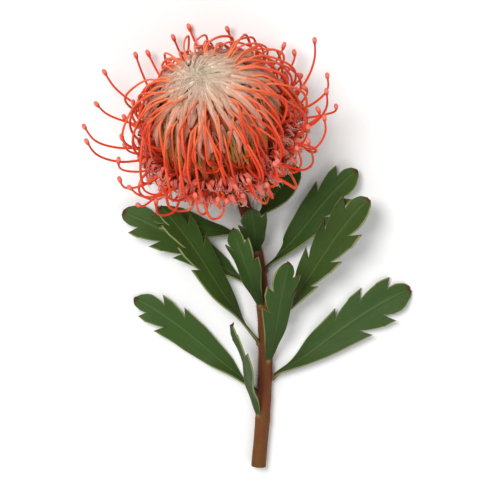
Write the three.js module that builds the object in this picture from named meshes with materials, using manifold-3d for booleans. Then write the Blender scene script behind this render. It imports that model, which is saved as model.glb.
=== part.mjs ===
// Pincushion protea (Leucospermum): one cut flowering stem lying on a flat surface.
// Millimetres, +Z up, the surface at z = 0. The stem runs along Y, its cut end towards -Y, and the
// neck lifts the flower head so that the woolly dome faces up and away from the stem.

import * as THREE from 'three';
import { mergeVertices } from 'three/addons/utils/BufferGeometryUtils.js';
import Module from 'manifold-3d';

const wasm = await Module();
wasm.setup();
const { Manifold, Mesh: SolidMesh } = wasm;

// ---- driving dimensions -------------------------------------------------------------------------

const GAP = 0.3; // clearance between neighbouring pieces
const GOLDEN_ANGLE = THREE.MathUtils.degToRad(137.508);

// stem
const STEM_RADIUS_CUT = 3.4; // at the cut end
const STEM_RADIUS_NECK = 2.8; // under the head
const STEM_FLAT = 0.25; // depth of the flattened strip that it lies on
const NECK_BEND = 32; // radius of the bend below the head
const HEAD_RISE = THREE.MathUtils.degToRad(38); // head axis above the surface
const HEAD_TURN = THREE.MathUtils.degToRad(15); // head axis turned from +Y towards -X
const STEM_LENGTH = 132; // straight-line reach of the stem behind the neck

// head, in its own frame: +Z along its axis, origin at the seat of the involucre
const DOME_RADIUS = 27;
const DOME_RIM_HEIGHT = 58;
const DOME_TOP_HEIGHT = 72;
const RIM_RADIUS = 33; // mouth of the cone of perianth tubes
const RIM_HEIGHT = 29.5;
const LOOP_RADIUS = 41; // widest reach of the looped styles
const LOOP_HEIGHT = 46;
const FREE_REACH = 57; // widest reach of the free styles
const STYLE_RADIUS = 0.62;
const KNOB_RADIUS = 1.15;
const KNOB_LENGTH = 4.6;

const CLOSED_FLORETS = 74; // youngest, woolly tips still shut on the dome
const FIRST_LOOP = 14; // florets younger than this one show no style yet
const FREE_STYLES = 25;
const RIM_LOOPS = 11; // oldest, caught in the curled perianths of the rim
const PERIANTH_RIBS = 40;
const CURLS = 30;
const BRACT_ROWS = 2;
const BRACTS_A_ROW = 12;

// leaves, from the head down: at = distance below the head, around = degrees about the stem
// (0 right, 90 up, 180 left), leave and lean = degrees off the stem at the base and for the whole
// blade, tip = height of the tip, turn = degrees that the blade turns about its midrib
const BLADE = 0.8; // thickness
const LEAVES = [
  { at: 17, around: 20, length: 34, width: 16, leave: 60, lean: 55, tip: 8, turn: 58, teeth: 1 },
  { at: 24, around: 166, length: 46, width: 12, leave: 70, lean: 64, tip: 12, turn: -55, teeth: 2 },
  { at: 33, around: 80, length: 28, width: 13, leave: 42, lean: 30, tip: 25, turn: 0, teeth: 2 },
  { at: 42, around: 2, length: 64, width: 17, leave: 54, lean: 50, tip: 4, turn: 72, teeth: 4 },
  { at: 50, around: 180, length: 72, width: 18, leave: 50, lean: 52, tip: 5, turn: -74, teeth: 5 },
  { at: 58, around: 112, length: 50, width: 15, leave: 34, lean: 30, tip: 32, turn: -14, teeth: 3 },
  { at: 68, around: 20, length: 80, width: 22, leave: 44, lean: 40, tip: 16, turn: 60, teeth: 6 },
  { at: 76, around: 162, length: 84, width: 18, leave: 38, lean: 34, tip: 20, turn: -56, teeth: 5 },
  { at: 84, around: 68, length: 58, width: 17, leave: 30, lean: 24, tip: 30, turn: 12, teeth: 4 },
  { at: 92, around: -2, length: 78, width: 20, leave: 56, lean: 55, tip: 1, turn: 80, teeth: 5 },
  { at: 100, around: 184, length: 74, width: 16, leave: 50, lean: 54, tip: 1, turn: -82, teeth: 4 },
  { at: 110, around: 128, length: 54, width: 13, leave: 30, lean: 30, tip: 22, turn: -30, teeth: 3 },
];

// ---- materials ----------------------------------------------------------------------------------

const matte = (color, roughness) => new THREE.MeshStandardMaterial({ color, roughness, metalness: 0 });
const STEM_MATERIAL = matte(0x94473a, 0.7);
const LEAF_MATERIAL = matte(0x47682f, 0.55);
const BRACT_MATERIAL = matte(0x8b8068, 0.9);
const PERIANTH_MATERIAL = matte(0xb0a13a, 0.65);
const STYLE_MATERIAL = matte(0xf05028, 0.45);
const WOOL_MATERIAL = matte(0xd6c9b4, 0.95);

// ---- helpers ------------------------------------------------------------------------------------

// a repeatable draw between -1 and 1 for item i, channel k
function draw(i, k) {
  const wave = Math.sin(i * 12.9898 + k * 78.233) * 43758.5453;
  return (wave - Math.floor(wave)) * 2 - 1;
}

const blend = (a, b, t) => a + (b - a) * t;

// piecewise linear value of a table of [position, value] pairs
function along(pairs, position) {
  const next = pairs.findIndex(([at]) => at >= position);
  if (next < 0) return pairs.at(-1)[1];
  if (next === 0) return pairs[0][1];
  const [a, va] = pairs[next - 1];
  const [b, vb] = pairs[next];
  return blend(va, vb, (position - a) / (b - a));
}

function toSolid(geometry) {
  const bare = geometry.clone();
  bare.deleteAttribute('normal');
  bare.deleteAttribute('uv');
  const merged = mergeVertices(bare, 1e-4);
  const corners = merged.index.array;
  const kept = [];
  for (let i = 0; i < corners.length; i += 3) {
    const [a, b, c] = corners.slice(i, i + 3);
    if (a !== b && b !== c && c !== a) kept.push(a, b, c);
  }
  return new Manifold(new SolidMesh({
    numProp: 3,
    vertProperties: new Float32Array(merged.attributes.position.array),
    triVerts: new Uint32Array(kept),
  }));
}

function toGeometry(solid) {
  const { vertProperties, triVerts } = solid.getMesh();
  const geometry = new THREE.BufferGeometry();
  geometry.setAttribute('position', new THREE.BufferAttribute(vertProperties, 3));
  geometry.setIndex(new THREE.BufferAttribute(triVerts, 1));
  geometry.computeVertexNormals();
  return geometry;
}

const fuse = (solids) => solids.reduce((whole, solid) => whole.add(solid));

// the one body of a solid, without loose scraps and sealed hollows
function oneBody(solid) {
  const bodies = solid.simplify(0.02).decompose();
  return bodies.reduce((best, body) => (body.volume() > best.volume() ? body : best));
}

// bends a shape drawn straight up Y along a curve. sideAt(u) is where its X points to.
function bend(geometry, curve, sideAt) {
  const length = curve.getLength();
  const spot = geometry.attributes.position;
  for (let i = 0; i < spot.count; i += 1) {
    const u = THREE.MathUtils.clamp(spot.getY(i) / length, 0, 1);
    const tangent = curve.getTangentAt(u);
    const side = sideAt(u, tangent).projectOnPlane(tangent).normalize();
    const out = new THREE.Vector3().crossVectors(side, tangent);
    const bent = curve.getPointAt(u)
      .addScaledVector(side, spot.getX(i))
      .addScaledVector(out, spot.getZ(i));
    spot.setXYZ(i, bent.x, bent.y, bent.z);
  }
  return geometry;
}

// a closed tapering rod bent along a curve; profile holds [distance, radius] from foot to tip
function rod(curve, side, profile, sides) {
  const length = curve.getLength();
  const outline = profile.map(([at, radius]) => new THREE.Vector2(radius, at));
  const closed = [new THREE.Vector2(0, 0), ...outline, new THREE.Vector2(0, length)];
  return toSolid(bend(new THREE.LatheGeometry(closed, sides), curve, () => side.clone()));
}

// everything under the surface, for trimming a piece that lies on it
function belowSurface(frame = new THREE.Matrix4()) {
  const slab = new THREE.BoxGeometry(800, 800, 60).translate(0, 0, -30);
  return toSolid(slab.applyMatrix4(frame.clone().invert()));
}

function piece(name, solid, material) {
  const mesh = new THREE.Mesh(toGeometry(oneBody(solid)), material);
  mesh.name = name;
  return mesh;
}

// ---- stem ---------------------------------------------------------------------------------------

const plan = new THREE.Vector3(-Math.sin(HEAD_TURN), Math.cos(HEAD_TURN), 0);
const UP = new THREE.Vector3(0, 0, 1);
const headAxis = plan.clone().multiplyScalar(Math.cos(HEAD_RISE)).addScaledVector(UP, Math.sin(HEAD_RISE));
const stemRest = STEM_RADIUS_NECK - STEM_FLAT;
const headSeat = new THREE.Vector3(0, 0, stemRest + NECK_BEND * (1 - Math.cos(HEAD_RISE)));

// a point of the neck's bend, turned back from the head by an angle of the bend
function neckPoint(fraction) {
  const angle = HEAD_RISE * (1 - fraction);
  const back = NECK_BEND * (Math.sin(HEAD_RISE) - Math.sin(angle));
  const drop = NECK_BEND * (Math.cos(angle) - Math.cos(HEAD_RISE));
  return headSeat.clone().addScaledVector(plan, -back).addScaledVector(UP, -drop);
}

function stemCurve() {
  const neck = [0, 0.1, 0.5, 1].map(neckPoint);
  const cutRest = STEM_RADIUS_CUT - STEM_FLAT;
  const behind = [
    new THREE.Vector3(9, -38, blend(stemRest, cutRest, 0.2)),
    new THREE.Vector3(12, -68, blend(stemRest, cutRest, 0.45)),
    new THREE.Vector3(11.5, -100, blend(stemRest, cutRest, 0.75)),
    new THREE.Vector3(9, -STEM_LENGTH, cutRest),
  ];
  return new THREE.CatmullRomCurve3([...neck, ...behind], false, 'centripetal');
}

const stemLine = stemCurve();
const stemReach = stemLine.getLength();
const stemRadius = (u) => blend(STEM_RADIUS_NECK, STEM_RADIUS_CUT, Math.min(1, u * 1.1));

function stem() {
  const rings = 16;
  const profile = [];
  for (let i = 0; i <= rings; i += 1) {
    const u = i / rings;
    const knuckle = 1 + 0.05 * (i % 2);
    profile.push([u * stemReach, stemRadius(u) * knuckle]);
  }
  const wood = rod(stemLine, new THREE.Vector3(1, 0, 0), profile, 9);
  return piece('stem', wood.subtract(belowSurface()), STEM_MATERIAL);
}

// ---- leaves -------------------------------------------------------------------------------------

// half the blade's width as a share of its greatest, from the base to the tip
const BLADE_OUTLINE = [
  [0, 0.26], [0.15, 0.36], [0.35, 0.66], [0.55, 0.92], [0.7, 1], [0.84, 0.86], [0.94, 0.52], [1, 0.16],
];

function midrib(leaf) {
  const u = leaf.at / stemReach;
  const towardsHead = stemLine.getTangentAt(u).negate();
  const right = new THREE.Vector3().crossVectors(towardsHead, UP).normalize();
  const up = new THREE.Vector3().crossVectors(right, towardsHead);
  const angle = THREE.MathUtils.degToRad(leaf.around);
  const outward = right.multiplyScalar(Math.cos(angle)).addScaledVector(up, Math.sin(angle));
  const heading = (degrees) => {
    const turn = THREE.MathUtils.degToRad(degrees);
    return towardsHead.clone().multiplyScalar(Math.cos(turn)).addScaledVector(outward, Math.sin(turn));
  };
  const root = stemLine.getPointAt(u).addScaledVector(outward, stemRadius(u) * 1.05 + GAP + BLADE / 2);
  const tip = root.clone().addScaledVector(heading(leaf.lean), leaf.length * 0.96);
  tip.z = leaf.tip;
  const rise = root.clone().addScaledVector(heading(leaf.leave), leaf.length * 0.36);
  const fall = tip.clone().addScaledVector(heading(leaf.lean + 12), -leaf.length * 0.33);
  fall.z = Math.max(fall.z, leaf.tip + leaf.length * 0.05);
  return { curve: new THREE.CubicBezierCurve3(root, rise, fall, tip), outward };
}

function leafBlade(name, leaf) {
  const { curve, outward } = midrib(leaf);
  const length = curve.getLength();
  const across = new THREE.Vector3().crossVectors(curve.getTangentAt(0), outward);
  const sideAt = (u, tangent) => {
    const turn = THREE.MathUtils.degToRad(leaf.turn) * THREE.MathUtils.smoothstep(u, 0, 0.45);
    return across.clone().projectOnPlane(tangent).applyAxisAngle(tangent, turn);
  };
  const halfWidth = (u) => (leaf.width / 2) * along(BLADE_OUTLINE, u);

  const blade = new THREE.BoxGeometry(2, length, BLADE, 2, 8, 1).translate(0, length / 2, 0);
  const spot = blade.attributes.position;
  for (let i = 0; i < spot.count; i += 1) {
    const x = spot.getX(i) * halfWidth(spot.getY(i) / length);
    spot.setX(i, x);
    spot.setZ(i, spot.getZ(i) - Math.abs(x) * 0.12);
  }
  let solid = toSolid(bend(blade, curve, sideAt));
  for (let i = 0; i < leaf.teeth; i += 1) {
    const hand = i % 2 ? -1 : 1;
    const foot = length - leaf.width * (0.52 + 0.34 * i);
    const deep = halfWidth(foot / length) * 0.5;
    const wide = leaf.width * 0.62;
    const slant = (wide - deep) * 0.9;
    const notch = new THREE.Shape([
      new THREE.Vector2(deep * hand, foot),
      new THREE.Vector2(wide * hand, foot + slant),
      new THREE.Vector2(wide * hand, foot + slant + leaf.width * 0.36),
    ]);
    const cutter = new THREE.ExtrudeGeometry(notch, { depth: 8, bevelEnabled: false }).translate(0, 0, -4);
    solid = solid.subtract(toSolid(bend(cutter, curve, sideAt)));
  }
  return piece(name, solid.subtract(belowSurface()), LEAF_MATERIAL);
}

// ---- head ---------------------------------------------------------------------------------------

const head = new THREE.Group();
head.position.copy(headSeat).addScaledVector(headAxis, GAP + 3);
head.quaternion.setFromUnitVectors(UP, headAxis);
head.updateMatrixWorld();
const surface = belowSurface(head.matrixWorld);

const onHead = (radius, height, angle) =>
  new THREE.Vector3(radius * Math.cos(angle), radius * Math.sin(angle), height);
const roundHead = (angle) => new THREE.Vector3(-Math.sin(angle), Math.cos(angle), 0);

// height of the dome's surface at a distance from its axis
const domeHeight = (radius) =>
  blend(DOME_TOP_HEIGHT, DOME_RIM_HEIGHT, Math.min(1, radius / DOME_RADIUS) ** 2.2);

// a curve through [radius, height, sideways] points, kept a style's radius above the surface
function styleCurve(angle, stations) {
  const points = stations.map(([radius, height, sideways = 0]) => {
    const point = onHead(radius, height, angle + sideways / Math.max(radius, 12));
    const world = head.localToWorld(point);
    world.z = Math.max(world.z, STYLE_RADIUS * 0.8);
    return head.worldToLocal(world);
  });
  return new THREE.CatmullRomCurve3(points, false, 'centripetal');
}

// closed florets: the style bows out over the shoulder and back to the woolly tip on the dome
function loopedStyle(i) {
  const angle = i * GOLDEN_ANGLE;
  const age = (i - FIRST_LOOP) / (CLOSED_FLORETS - FIRST_LOOP);
  const wide = blend(29, LOOP_RADIUS, age ** 0.8) + 2.4 * draw(i, 1);
  const high = blend(64, LOOP_HEIGHT, age) + 2.5 * draw(i, 2);
  const swing = 4.5 * draw(i, 3);
  const end = blend(13, DOME_RADIUS, age ** 0.7);
  return styleCurve(angle, [
    [blend(20, 25, age), blend(48, 33, age)],
    [blend(wide, 27, 0.3), blend(high, 40, 0.45), swing * 0.4],
    [wide, high, swing],
    [wide - 3.5, high + 8.5, swing * 0.7],
    [blend(end, wide, 0.35), domeHeight(end) + 2.4, swing * 0.2],
    [end, domeHeight(end) + 0.8],
  ]);
}

// open florets: the style stands free, its knob clear of the rest
function freeStyle(i) {
  const angle = (CLOSED_FLORETS + i) * GOLDEN_ANGLE;
  const reach = FREE_REACH - 4 + 5 * draw(i, 4);
  const high = 52 + 11 * draw(i, 5);
  const swing = 6 * draw(i, 6);
  return styleCurve(angle, [
    [25, 26],
    [31, 33],
    [blend(31, reach, 0.42), blend(33, high, 0.34), swing * 0.3],
    [blend(31, reach, 0.75), blend(33, high, 0.68), swing * 0.7],
    [reach, high, swing],
  ]);
}

// oldest florets: the tip is caught below the rim, so the style hangs in a bow
function rimLoop(i) {
  const angle = (CLOSED_FLORETS + FREE_STYLES + i) * GOLDEN_ANGLE;
  const wide = 44 + 2 * draw(i, 7);
  const swing = 5 + 3 * draw(i, 8);
  return styleCurve(angle, [
    [25, 27],
    [32, 32.5],
    [wide - 3, 31, swing * 0.4],
    [wide, 24, swing],
    [wide - 6, 20.5, swing * 1.4],
    [RIM_RADIUS + 0.5, 23, swing * 1.6],
  ]);
}

function styleSolid(curve, angle, knob, grow = 0) {
  const length = curve.getLength();
  const steps = knob ? 5 : 6;
  const end = knob ? length - KNOB_LENGTH : length - 0.4;
  const profile = [];
  for (let i = 0; i <= steps; i += 1) {
    profile.push([(end * i) / steps, STYLE_RADIUS + grow]);
  }
  if (knob) {
    profile.push([length - KNOB_LENGTH * 0.55, KNOB_RADIUS + grow], [length - 0.3, 0.4 + grow]);
  }
  return rod(curve, roundHead(angle), profile, 3);
}

function allStyles(grow) {
  const solids = [];
  for (let i = FIRST_LOOP; i < CLOSED_FLORETS; i += 1) {
    solids.push(styleSolid(loopedStyle(i), i * GOLDEN_ANGLE, false, grow));
  }
  for (let i = 0; i < FREE_STYLES; i += 1) {
    solids.push(styleSolid(freeStyle(i), (CLOSED_FLORETS + i) * GOLDEN_ANGLE, true, grow));
  }
  for (let i = 0; i < RIM_LOOPS; i += 1) {
    const angle = (CLOSED_FLORETS + FREE_STYLES + i) * GOLDEN_ANGLE;
    solids.push(styleSolid(rimLoop(i), angle, false, grow));
  }
  return fuse(solids);
}

// [radius, height] outline of the packed floret bases that carry the styles
const CORE_OUTLINE = [[0, 6], [5, 6], [18, 19.5], [28, 30], [27, 40], [24, 50], [23, DOME_RIM_HEIGHT - 2]];

function turned(outline, segments, ribs = 0) {
  const points = outline.map(([radius, height]) => new THREE.Vector2(radius, height));
  const geometry = new THREE.LatheGeometry(points, segments).rotateX(Math.PI / 2);
  if (ribs) {
    const spot = geometry.attributes.position;
    for (let i = 0; i < spot.count; i += 1) {
      const angle = Math.atan2(spot.getY(i), spot.getX(i));
      const swell = 1 + ribs * Math.cos((angle * segments) / 2);
      spot.setXY(i, spot.getX(i) * swell, spot.getY(i) * swell);
    }
  }
  return toSolid(geometry);
}

function styles() {
  const core = turned([...CORE_OUTLINE, [0, DOME_RIM_HEIGHT - 2]], 40, 0.03);
  return piece('styles', core.add(allStyles(0)).subtract(surface), STYLE_MATERIAL);
}

// cone of perianth tubes round the core, their red tips curled back over its rim
function perianths(styleClearance) {
  const cone = turned([
    [0, 2.5], [4.6, 2.5], [6.5, 4.5], [20, 17.2], [RIM_RADIUS, RIM_HEIGHT], [0, RIM_HEIGHT],
  ], PERIANTH_RIBS * 2, 0.035);
  const bore = turned([[0, 5.7], [5.2, 5.7], [18.9, 19.3], [29.2, 30], [29.2, 34], [0, 34]], 32);
  const curls = [];
  for (let i = 0; i < CURLS; i += 1) {
    const angle = i * GOLDEN_ANGLE + 0.3;
    const swing = 2 * draw(i, 9);
    const lift = 1.2 * draw(i, 10);
    const curve = new THREE.CatmullRomCurve3([
      onHead(30.6, 27.5, angle),
      onHead(33.5, 32 + lift, angle + swing / 34),
      onHead(37.5, 31.5 + lift, angle + swing / 30),
      onHead(38, 27.5 + lift, angle + swing / 26),
      onHead(35.6, 26.6 + lift, angle + swing / 26),
    ]);
    const length = curve.getLength();
    const profile = [0.3, 0.55, 0.8].map((u) => [u * length, 1.5 - 0.5 * u]);
    curls.push(rod(curve, roundHead(angle), profile, 3));
  }
  const fused = cone.subtract(bore).add(fuse(curls));
  return piece('perianths', fused.subtract(styleClearance).subtract(surface), PERIANTH_MATERIAL);
}

// woolly tips of the closed florets, laid towards the middle of the dome
function dome(styleClearance) {
  const floor = DOME_RIM_HEIGHT - 2 + GAP;
  const outline = [[0, floor], [23.6, floor], [DOME_RADIUS - 1.6, floor + 2]];
  for (const radius of [21, 15, 8]) outline.push([radius, domeHeight(radius) - 1.4]);
  const solids = [turned([...outline, [0, DOME_TOP_HEIGHT - 1.6]], 24)];
  for (let i = 0; i < CLOSED_FLORETS; i += 1) {
    const angle = i * GOLDEN_ANGLE;
    const outer = DOME_RADIUS * Math.sqrt((i + 1.5) / CLOSED_FLORETS);
    const inner = Math.max(0.9, outer - 12.5 + 1.5 * draw(i, 11));
    const foot = onHead(outer, domeHeight(outer) - 1.6, angle);
    const tip = onHead(inner, domeHeight(inner) + 1.1, angle + 0.05 * draw(i, 12));
    const length = foot.distanceTo(tip);
    const curve = new THREE.LineCurve3(foot, tip);
    solids.push(rod(curve, roundHead(angle), [[length * 0.6, 1.9]], 4));
  }
  return piece('woolly_dome', fuse(solids).subtract(styleClearance), WOOL_MATERIAL);
}

// small overlapping bracts that cup the foot of the head
function involucre() {
  const cup = turned([[0, -3], [STEM_RADIUS_NECK + 0.4, -3], [5, 0], [7.6, 4.2], [10, 7.4], [0, 7.4]], 16);
  const seat = turned([[0, 2.2], [5, 2.2], [7, 4.1], [12.6, 10.1], [14, 12], [0, 12]], 16);
  const bracts = [];
  for (let row = 0; row < BRACT_ROWS; row += 1) {
    for (let i = 0; i < BRACTS_A_ROW; i += 1) {
      const angle = ((i + row * 0.5) / BRACTS_A_ROW) * Math.PI * 2;
      const foot = -1.6 + row * 2.4;
      const curve = new THREE.CatmullRomCurve3([
        onHead(3.6 + row * 1.5, foot, angle),
        onHead(5.9 + row * 1.9, foot + 2.6, angle),
        onHead(8.6 + row * 2.2, foot + 5.2 + 0.6 * draw(i, 13 + row), angle),
      ]);
      const length = curve.getLength();
      const blade = new THREE.LatheGeometry([
        new THREE.Vector2(0, 0), new THREE.Vector2(2.6, length * 0.5), new THREE.Vector2(0, length),
      ], 4).scale(1, 1, 0.4);
      bracts.push(toSolid(bend(blade, curve, () => roundHead(angle))));
    }
  }
  return piece('involucre', cup.add(fuse(bracts)).subtract(seat).subtract(surface), BRACT_MATERIAL);
}

// ---- assembly -----------------------------------------------------------------------------------

const clearance = allStyles(GAP);
head.add(involucre(), perianths(clearance), styles(), dome(clearance));

const flower = new THREE.Group();
flower.add(stem());
LEAVES.forEach((leaf, i) => flower.add(leafBlade(`leaf_${String(i + 1).padStart(2, '0')}`, leaf)));
flower.add(head);

// the origin lies on the surface, under the middle of the whole flower
const box = new THREE.Box3().setFromObject(flower, true);
flower.position.set(-(box.min.x + box.max.x) / 2, -(box.min.y + box.max.y) / 2, 0);

export default flower;
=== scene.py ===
"""Dresses a pincushion protea: a cut flowering stem that lies on its side.

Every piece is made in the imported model's own frame, in metres. The flower head has a frame of its
own, with +Z along its axis and its origin at the seat of the involucre.
"""

import math
from collections import namedtuple
from functools import partial, wraps

import bmesh
import bpy
from bpy.props import FloatProperty, FloatVectorProperty, IntProperty, PointerProperty
from mathutils import Matrix, Vector


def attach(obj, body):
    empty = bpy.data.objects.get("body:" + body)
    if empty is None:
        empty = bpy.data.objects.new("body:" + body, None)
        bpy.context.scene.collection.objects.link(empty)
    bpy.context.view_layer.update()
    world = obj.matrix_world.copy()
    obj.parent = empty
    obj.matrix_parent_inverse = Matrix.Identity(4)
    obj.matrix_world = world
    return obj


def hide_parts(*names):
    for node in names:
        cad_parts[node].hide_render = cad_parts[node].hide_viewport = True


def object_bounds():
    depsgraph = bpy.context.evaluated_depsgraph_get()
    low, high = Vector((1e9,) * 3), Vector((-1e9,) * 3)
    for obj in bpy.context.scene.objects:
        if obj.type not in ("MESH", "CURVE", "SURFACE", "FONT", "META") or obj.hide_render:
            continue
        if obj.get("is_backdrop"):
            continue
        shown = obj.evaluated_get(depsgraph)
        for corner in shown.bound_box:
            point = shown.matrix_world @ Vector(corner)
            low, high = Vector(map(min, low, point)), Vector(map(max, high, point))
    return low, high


bl_info = {
    "name": "Pincushion Protea",
    "version": (1, 0, 0),
    "blender": (4, 5, 0),
    "location": "View3D > Sidebar > Protea",
    "description": "Builds the finished surface of a cut pincushion protea",
    "category": "Add Mesh",
}

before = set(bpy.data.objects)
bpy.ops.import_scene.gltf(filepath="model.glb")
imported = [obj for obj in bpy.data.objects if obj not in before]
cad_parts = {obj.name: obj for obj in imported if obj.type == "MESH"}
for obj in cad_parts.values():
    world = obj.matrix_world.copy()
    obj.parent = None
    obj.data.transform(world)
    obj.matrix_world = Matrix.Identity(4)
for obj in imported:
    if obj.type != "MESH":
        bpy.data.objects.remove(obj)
CAD_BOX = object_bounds()

MM = 0.001
GOLDEN_ANGLE = math.radians(137.508)
UP = Vector((0, 0, 1))

# ---- places and proportions shared by the pieces, in millimetres ---------------------------------

STRAND_GAP = 0.03  # least height of a strand's underside over the surface that the flower lies on
BLADE_GAP = 0.02  # the same, for a leaf or a strip
HAIR_GAP = 0.15  # the same, for the middle of a hair

MIDDLE = Vector((-6.05, 28.57, 0))  # the point right under the head's end of the stem
HEAD_RISE = math.radians(38)
HEAD_TURN = math.radians(15)
NECK_BEND = 32
STEM_RADIUS_NECK = 2.8
STEM_RADIUS_CUT = 3.4
STEM_FLAT = 0.25  # how much of the stem is pressed flat where it rests
SEAT_LIFT = 3.3  # from the end of the stem to the seat of the involucre
# x and y from MIDDLE, and how far the height of the middle line has gone from neck to cut end
STEM_ROUTE = [(9, -38, 0.2), (12, -68, 0.45), (11.5, -100, 0.75), (9, -132, 1)]

DOME_RADIUS = 27
DOME_RIM_HEIGHT = 58
DOME_TOP_HEIGHT = 72
RIM_RADIUS = 33
INNER_ARC = 12  # nearer the axis than this, a sideways measure is an arc at this radius

CLOSED_FLORETS = 74
FREE_STYLES = 25

# below: distance below the head. around: degrees round the stem. leave and lean: degrees off the
# stem at the leaf's foot, and for the whole blade. turn: degrees that the blade is twisted.
Leaf = namedtuple("Leaf", "below around length width leave lean tip_height turn teeth")
LEAVES = [
    Leaf(17, 20, 34, 16, 60, 55, 8, 58, 1),
    Leaf(24, 166, 46, 12, 70, 64, 12, -55, 2),
    Leaf(33, 80, 28, 13, 42, 30, 25, 0, 2),
    Leaf(42, 2, 64, 17, 54, 50, 4, 72, 4),
    Leaf(50, 180, 72, 18, 50, 52, 5, -74, 5),
    Leaf(58, 112, 50, 15, 34, 30, 32, -14, 3),
    Leaf(68, 20, 80, 22, 44, 40, 16, 60, 6),
    Leaf(76, 162, 84, 18, 38, 34, 20, -56, 5),
    Leaf(84, 68, 58, 17, 30, 24, 30, 12, 4),
    Leaf(92, -2, 78, 20, 56, 55, 1, 80, 5),
    Leaf(100, 184, 74, 16, 50, 54, 1, -82, 4),
    Leaf(110, 128, 54, 13, 30, 30, 22, -30, 3),
]


# ---- sizes and colours that a user would change --------------------------------------------------


def length_property(name, description, value):
    """A length that a user can set, with its default."""
    return FloatProperty(name=name, description=description, default=value, unit="LENGTH")


class ProteaSizes(bpy.types.PropertyGroup):
    """Thicknesses and counts of the finished surface"""

    style_radius: length_property("Style radius", "Half the thickness of a style", 0.62 * MM)
    knob_radius: length_property("Knob radius", "Half the thickness of a free style's knob", 1.15 * MM)
    hair_radius: length_property("Wool radius", "Half the thickness of a woolly hair", 0.14 * MM)
    blade_thickness: length_property("Leaf thickness", "Thickness of a leaf's blade", 0.7 * MM)
    hairs_a_tip: IntProperty(
        name="Hairs on a tip", description="Woolly hairs on each closed floret tip", default=34
    )
    tubes_a_row: IntProperty(
        name="Tubes in a row", description="Perianth tubes in each of the cone's two rows", default=74
    )


def colour_property(name, description, value):
    """A colour that a user can pick, with its default."""
    return FloatVectorProperty(
        name=name, description=description, default=value, size=3, min=0, max=1, subtype="COLOR"
    )


class ProteaColours(bpy.types.PropertyGroup):
    """Main colours of the flower, as linear values"""

    style: colour_property("Style", "Lit orange-red of the styles", (0.86, 0.068, 0.014))
    # The deep red is both the real darker red of some styles and the painted shade of the close loops.
    style_deep_and_shade: colour_property("Style, deep", "Deeper red of the styles", (0.64, 0.026, 0.008))
    knob: colour_property("Knob", "Pinkish tip of a free style", (0.92, 0.21, 0.13))
    wool: colour_property("Wool", "Cream-white wool in the middle of the dome", (0.80, 0.66, 0.50))
    wool_rim: colour_property("Wool, rim", "Pinkish wool round the dome", (0.70, 0.29, 0.175))
    tube: colour_property("Tube", "Yellow-green middle of the perianth tubes", (0.37, 0.35, 0.055))
    curl: colour_property("Curl", "Red of the curled perianths", (0.60, 0.035, 0.028))
    leaf: colour_property("Leaf", "Green of the leaves", (0.028, 0.080, 0.007))
    leaf_margin: colour_property("Leaf margin", "Pale edge of a leaf", (0.30, 0.33, 0.12))
    stem_top: colour_property("Stem, top", "Crimson of the stem under the head", (0.28, 0.024, 0.022))
    stem_low: colour_property("Stem, low", "Tan of the stem lower down", (0.130, 0.052, 0.008))


# ---- helpers: numbers and paths ------------------------------------------------------------------


def draw(i, k):
    """A repeatable draw between -1 and 1 for item i, channel k."""
    wave = math.sin(i * 12.9898 + k * 78.233) * 43758.5453
    return (wave - math.floor(wave)) * 2 - 1


def tint_of(i, k):
    """A repeatable tint between 0 and 1 for item i, channel k."""
    return 0.5 + 0.5 * draw(i, k)


def blend(a, b, t):
    """The value that lies a share t of the way from a to b."""
    return a + (b - a) * t


def smooth(t):
    """An eased step from 0 to 1 as t goes from 0 to 1."""
    t = min(max(t, 0.0), 1.0)
    return t * t * (3 - 2 * t)


def along(pairs, position):
    """Piecewise linear value of a table of (position, value) pairs."""
    for (a, value_a), (b, value_b) in zip(pairs, pairs[1:]):
        if position <= b:
            return blend(value_a, value_b, max(0.0, (position - a) / (b - a)))
    return pairs[-1][1]


def centripetal(points, steps):
    """Points along a centripetal Catmull-Rom curve, steps of them between each two of its points."""
    ends = [points[0] * 2 - points[1], *points, points[-1] * 2 - points[-2]]
    made = []
    for i in range(len(points) - 1):
        p0, p1, p2, p3 = ends[i : i + 4]
        gap1 = max((p2 - p1).length ** 0.5, 1e-4)
        gap0 = (p1 - p0).length ** 0.5 or gap1
        gap2 = (p3 - p2).length ** 0.5 or gap1
        leave = ((p1 - p0) / gap0 - (p2 - p0) / (gap0 + gap1) + (p2 - p1) / gap1) * gap1
        reach = ((p2 - p1) / gap1 - (p3 - p1) / (gap1 + gap2) + (p3 - p2) / gap2) * gap1
        for step in range(steps):
            t = step / steps
            made.append(
                p1 * (2 * t**3 - 3 * t**2 + 1)
                + leave * (t**3 - 2 * t**2 + t)
                + p2 * (3 * t**2 - 2 * t**3)
                + reach * (t**3 - t**2)
            )
    return [*made, points[-1].copy()]


class Path:
    """A line of points that is read by the share of its length."""

    def __init__(self, points):
        self.points = points
        self.reach = [0.0]
        for a, b in zip(points, points[1:]):
            self.reach.append(self.reach[-1] + (b - a).length)
        self.length = self.reach[-1]

    def spot(self, share):
        """Index of the stretch that holds this share of the length, and how far along it that is."""
        goal = min(max(share, 0.0), 1.0) * self.length
        low, high = 0, len(self.reach) - 2
        while low < high:
            middle = (low + high) // 2
            if self.reach[middle + 1] < goal:
                low = middle + 1
            else:
                high = middle
        return low, (goal - self.reach[low]) / max(self.reach[low + 1] - self.reach[low], 1e-9)

    def at(self, share):
        """The point at a share of the length."""
        i, t = self.spot(share)
        return self.points[i].lerp(self.points[i + 1], t)

    def tangent(self, share):
        """The direction of the line at a share of the length."""
        return (self.at(min(share + 0.01, 1)) - self.at(max(share - 0.01, 0))).normalized()


# ---- helpers: the head's and the stem's own frames -----------------------------------------------

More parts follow.
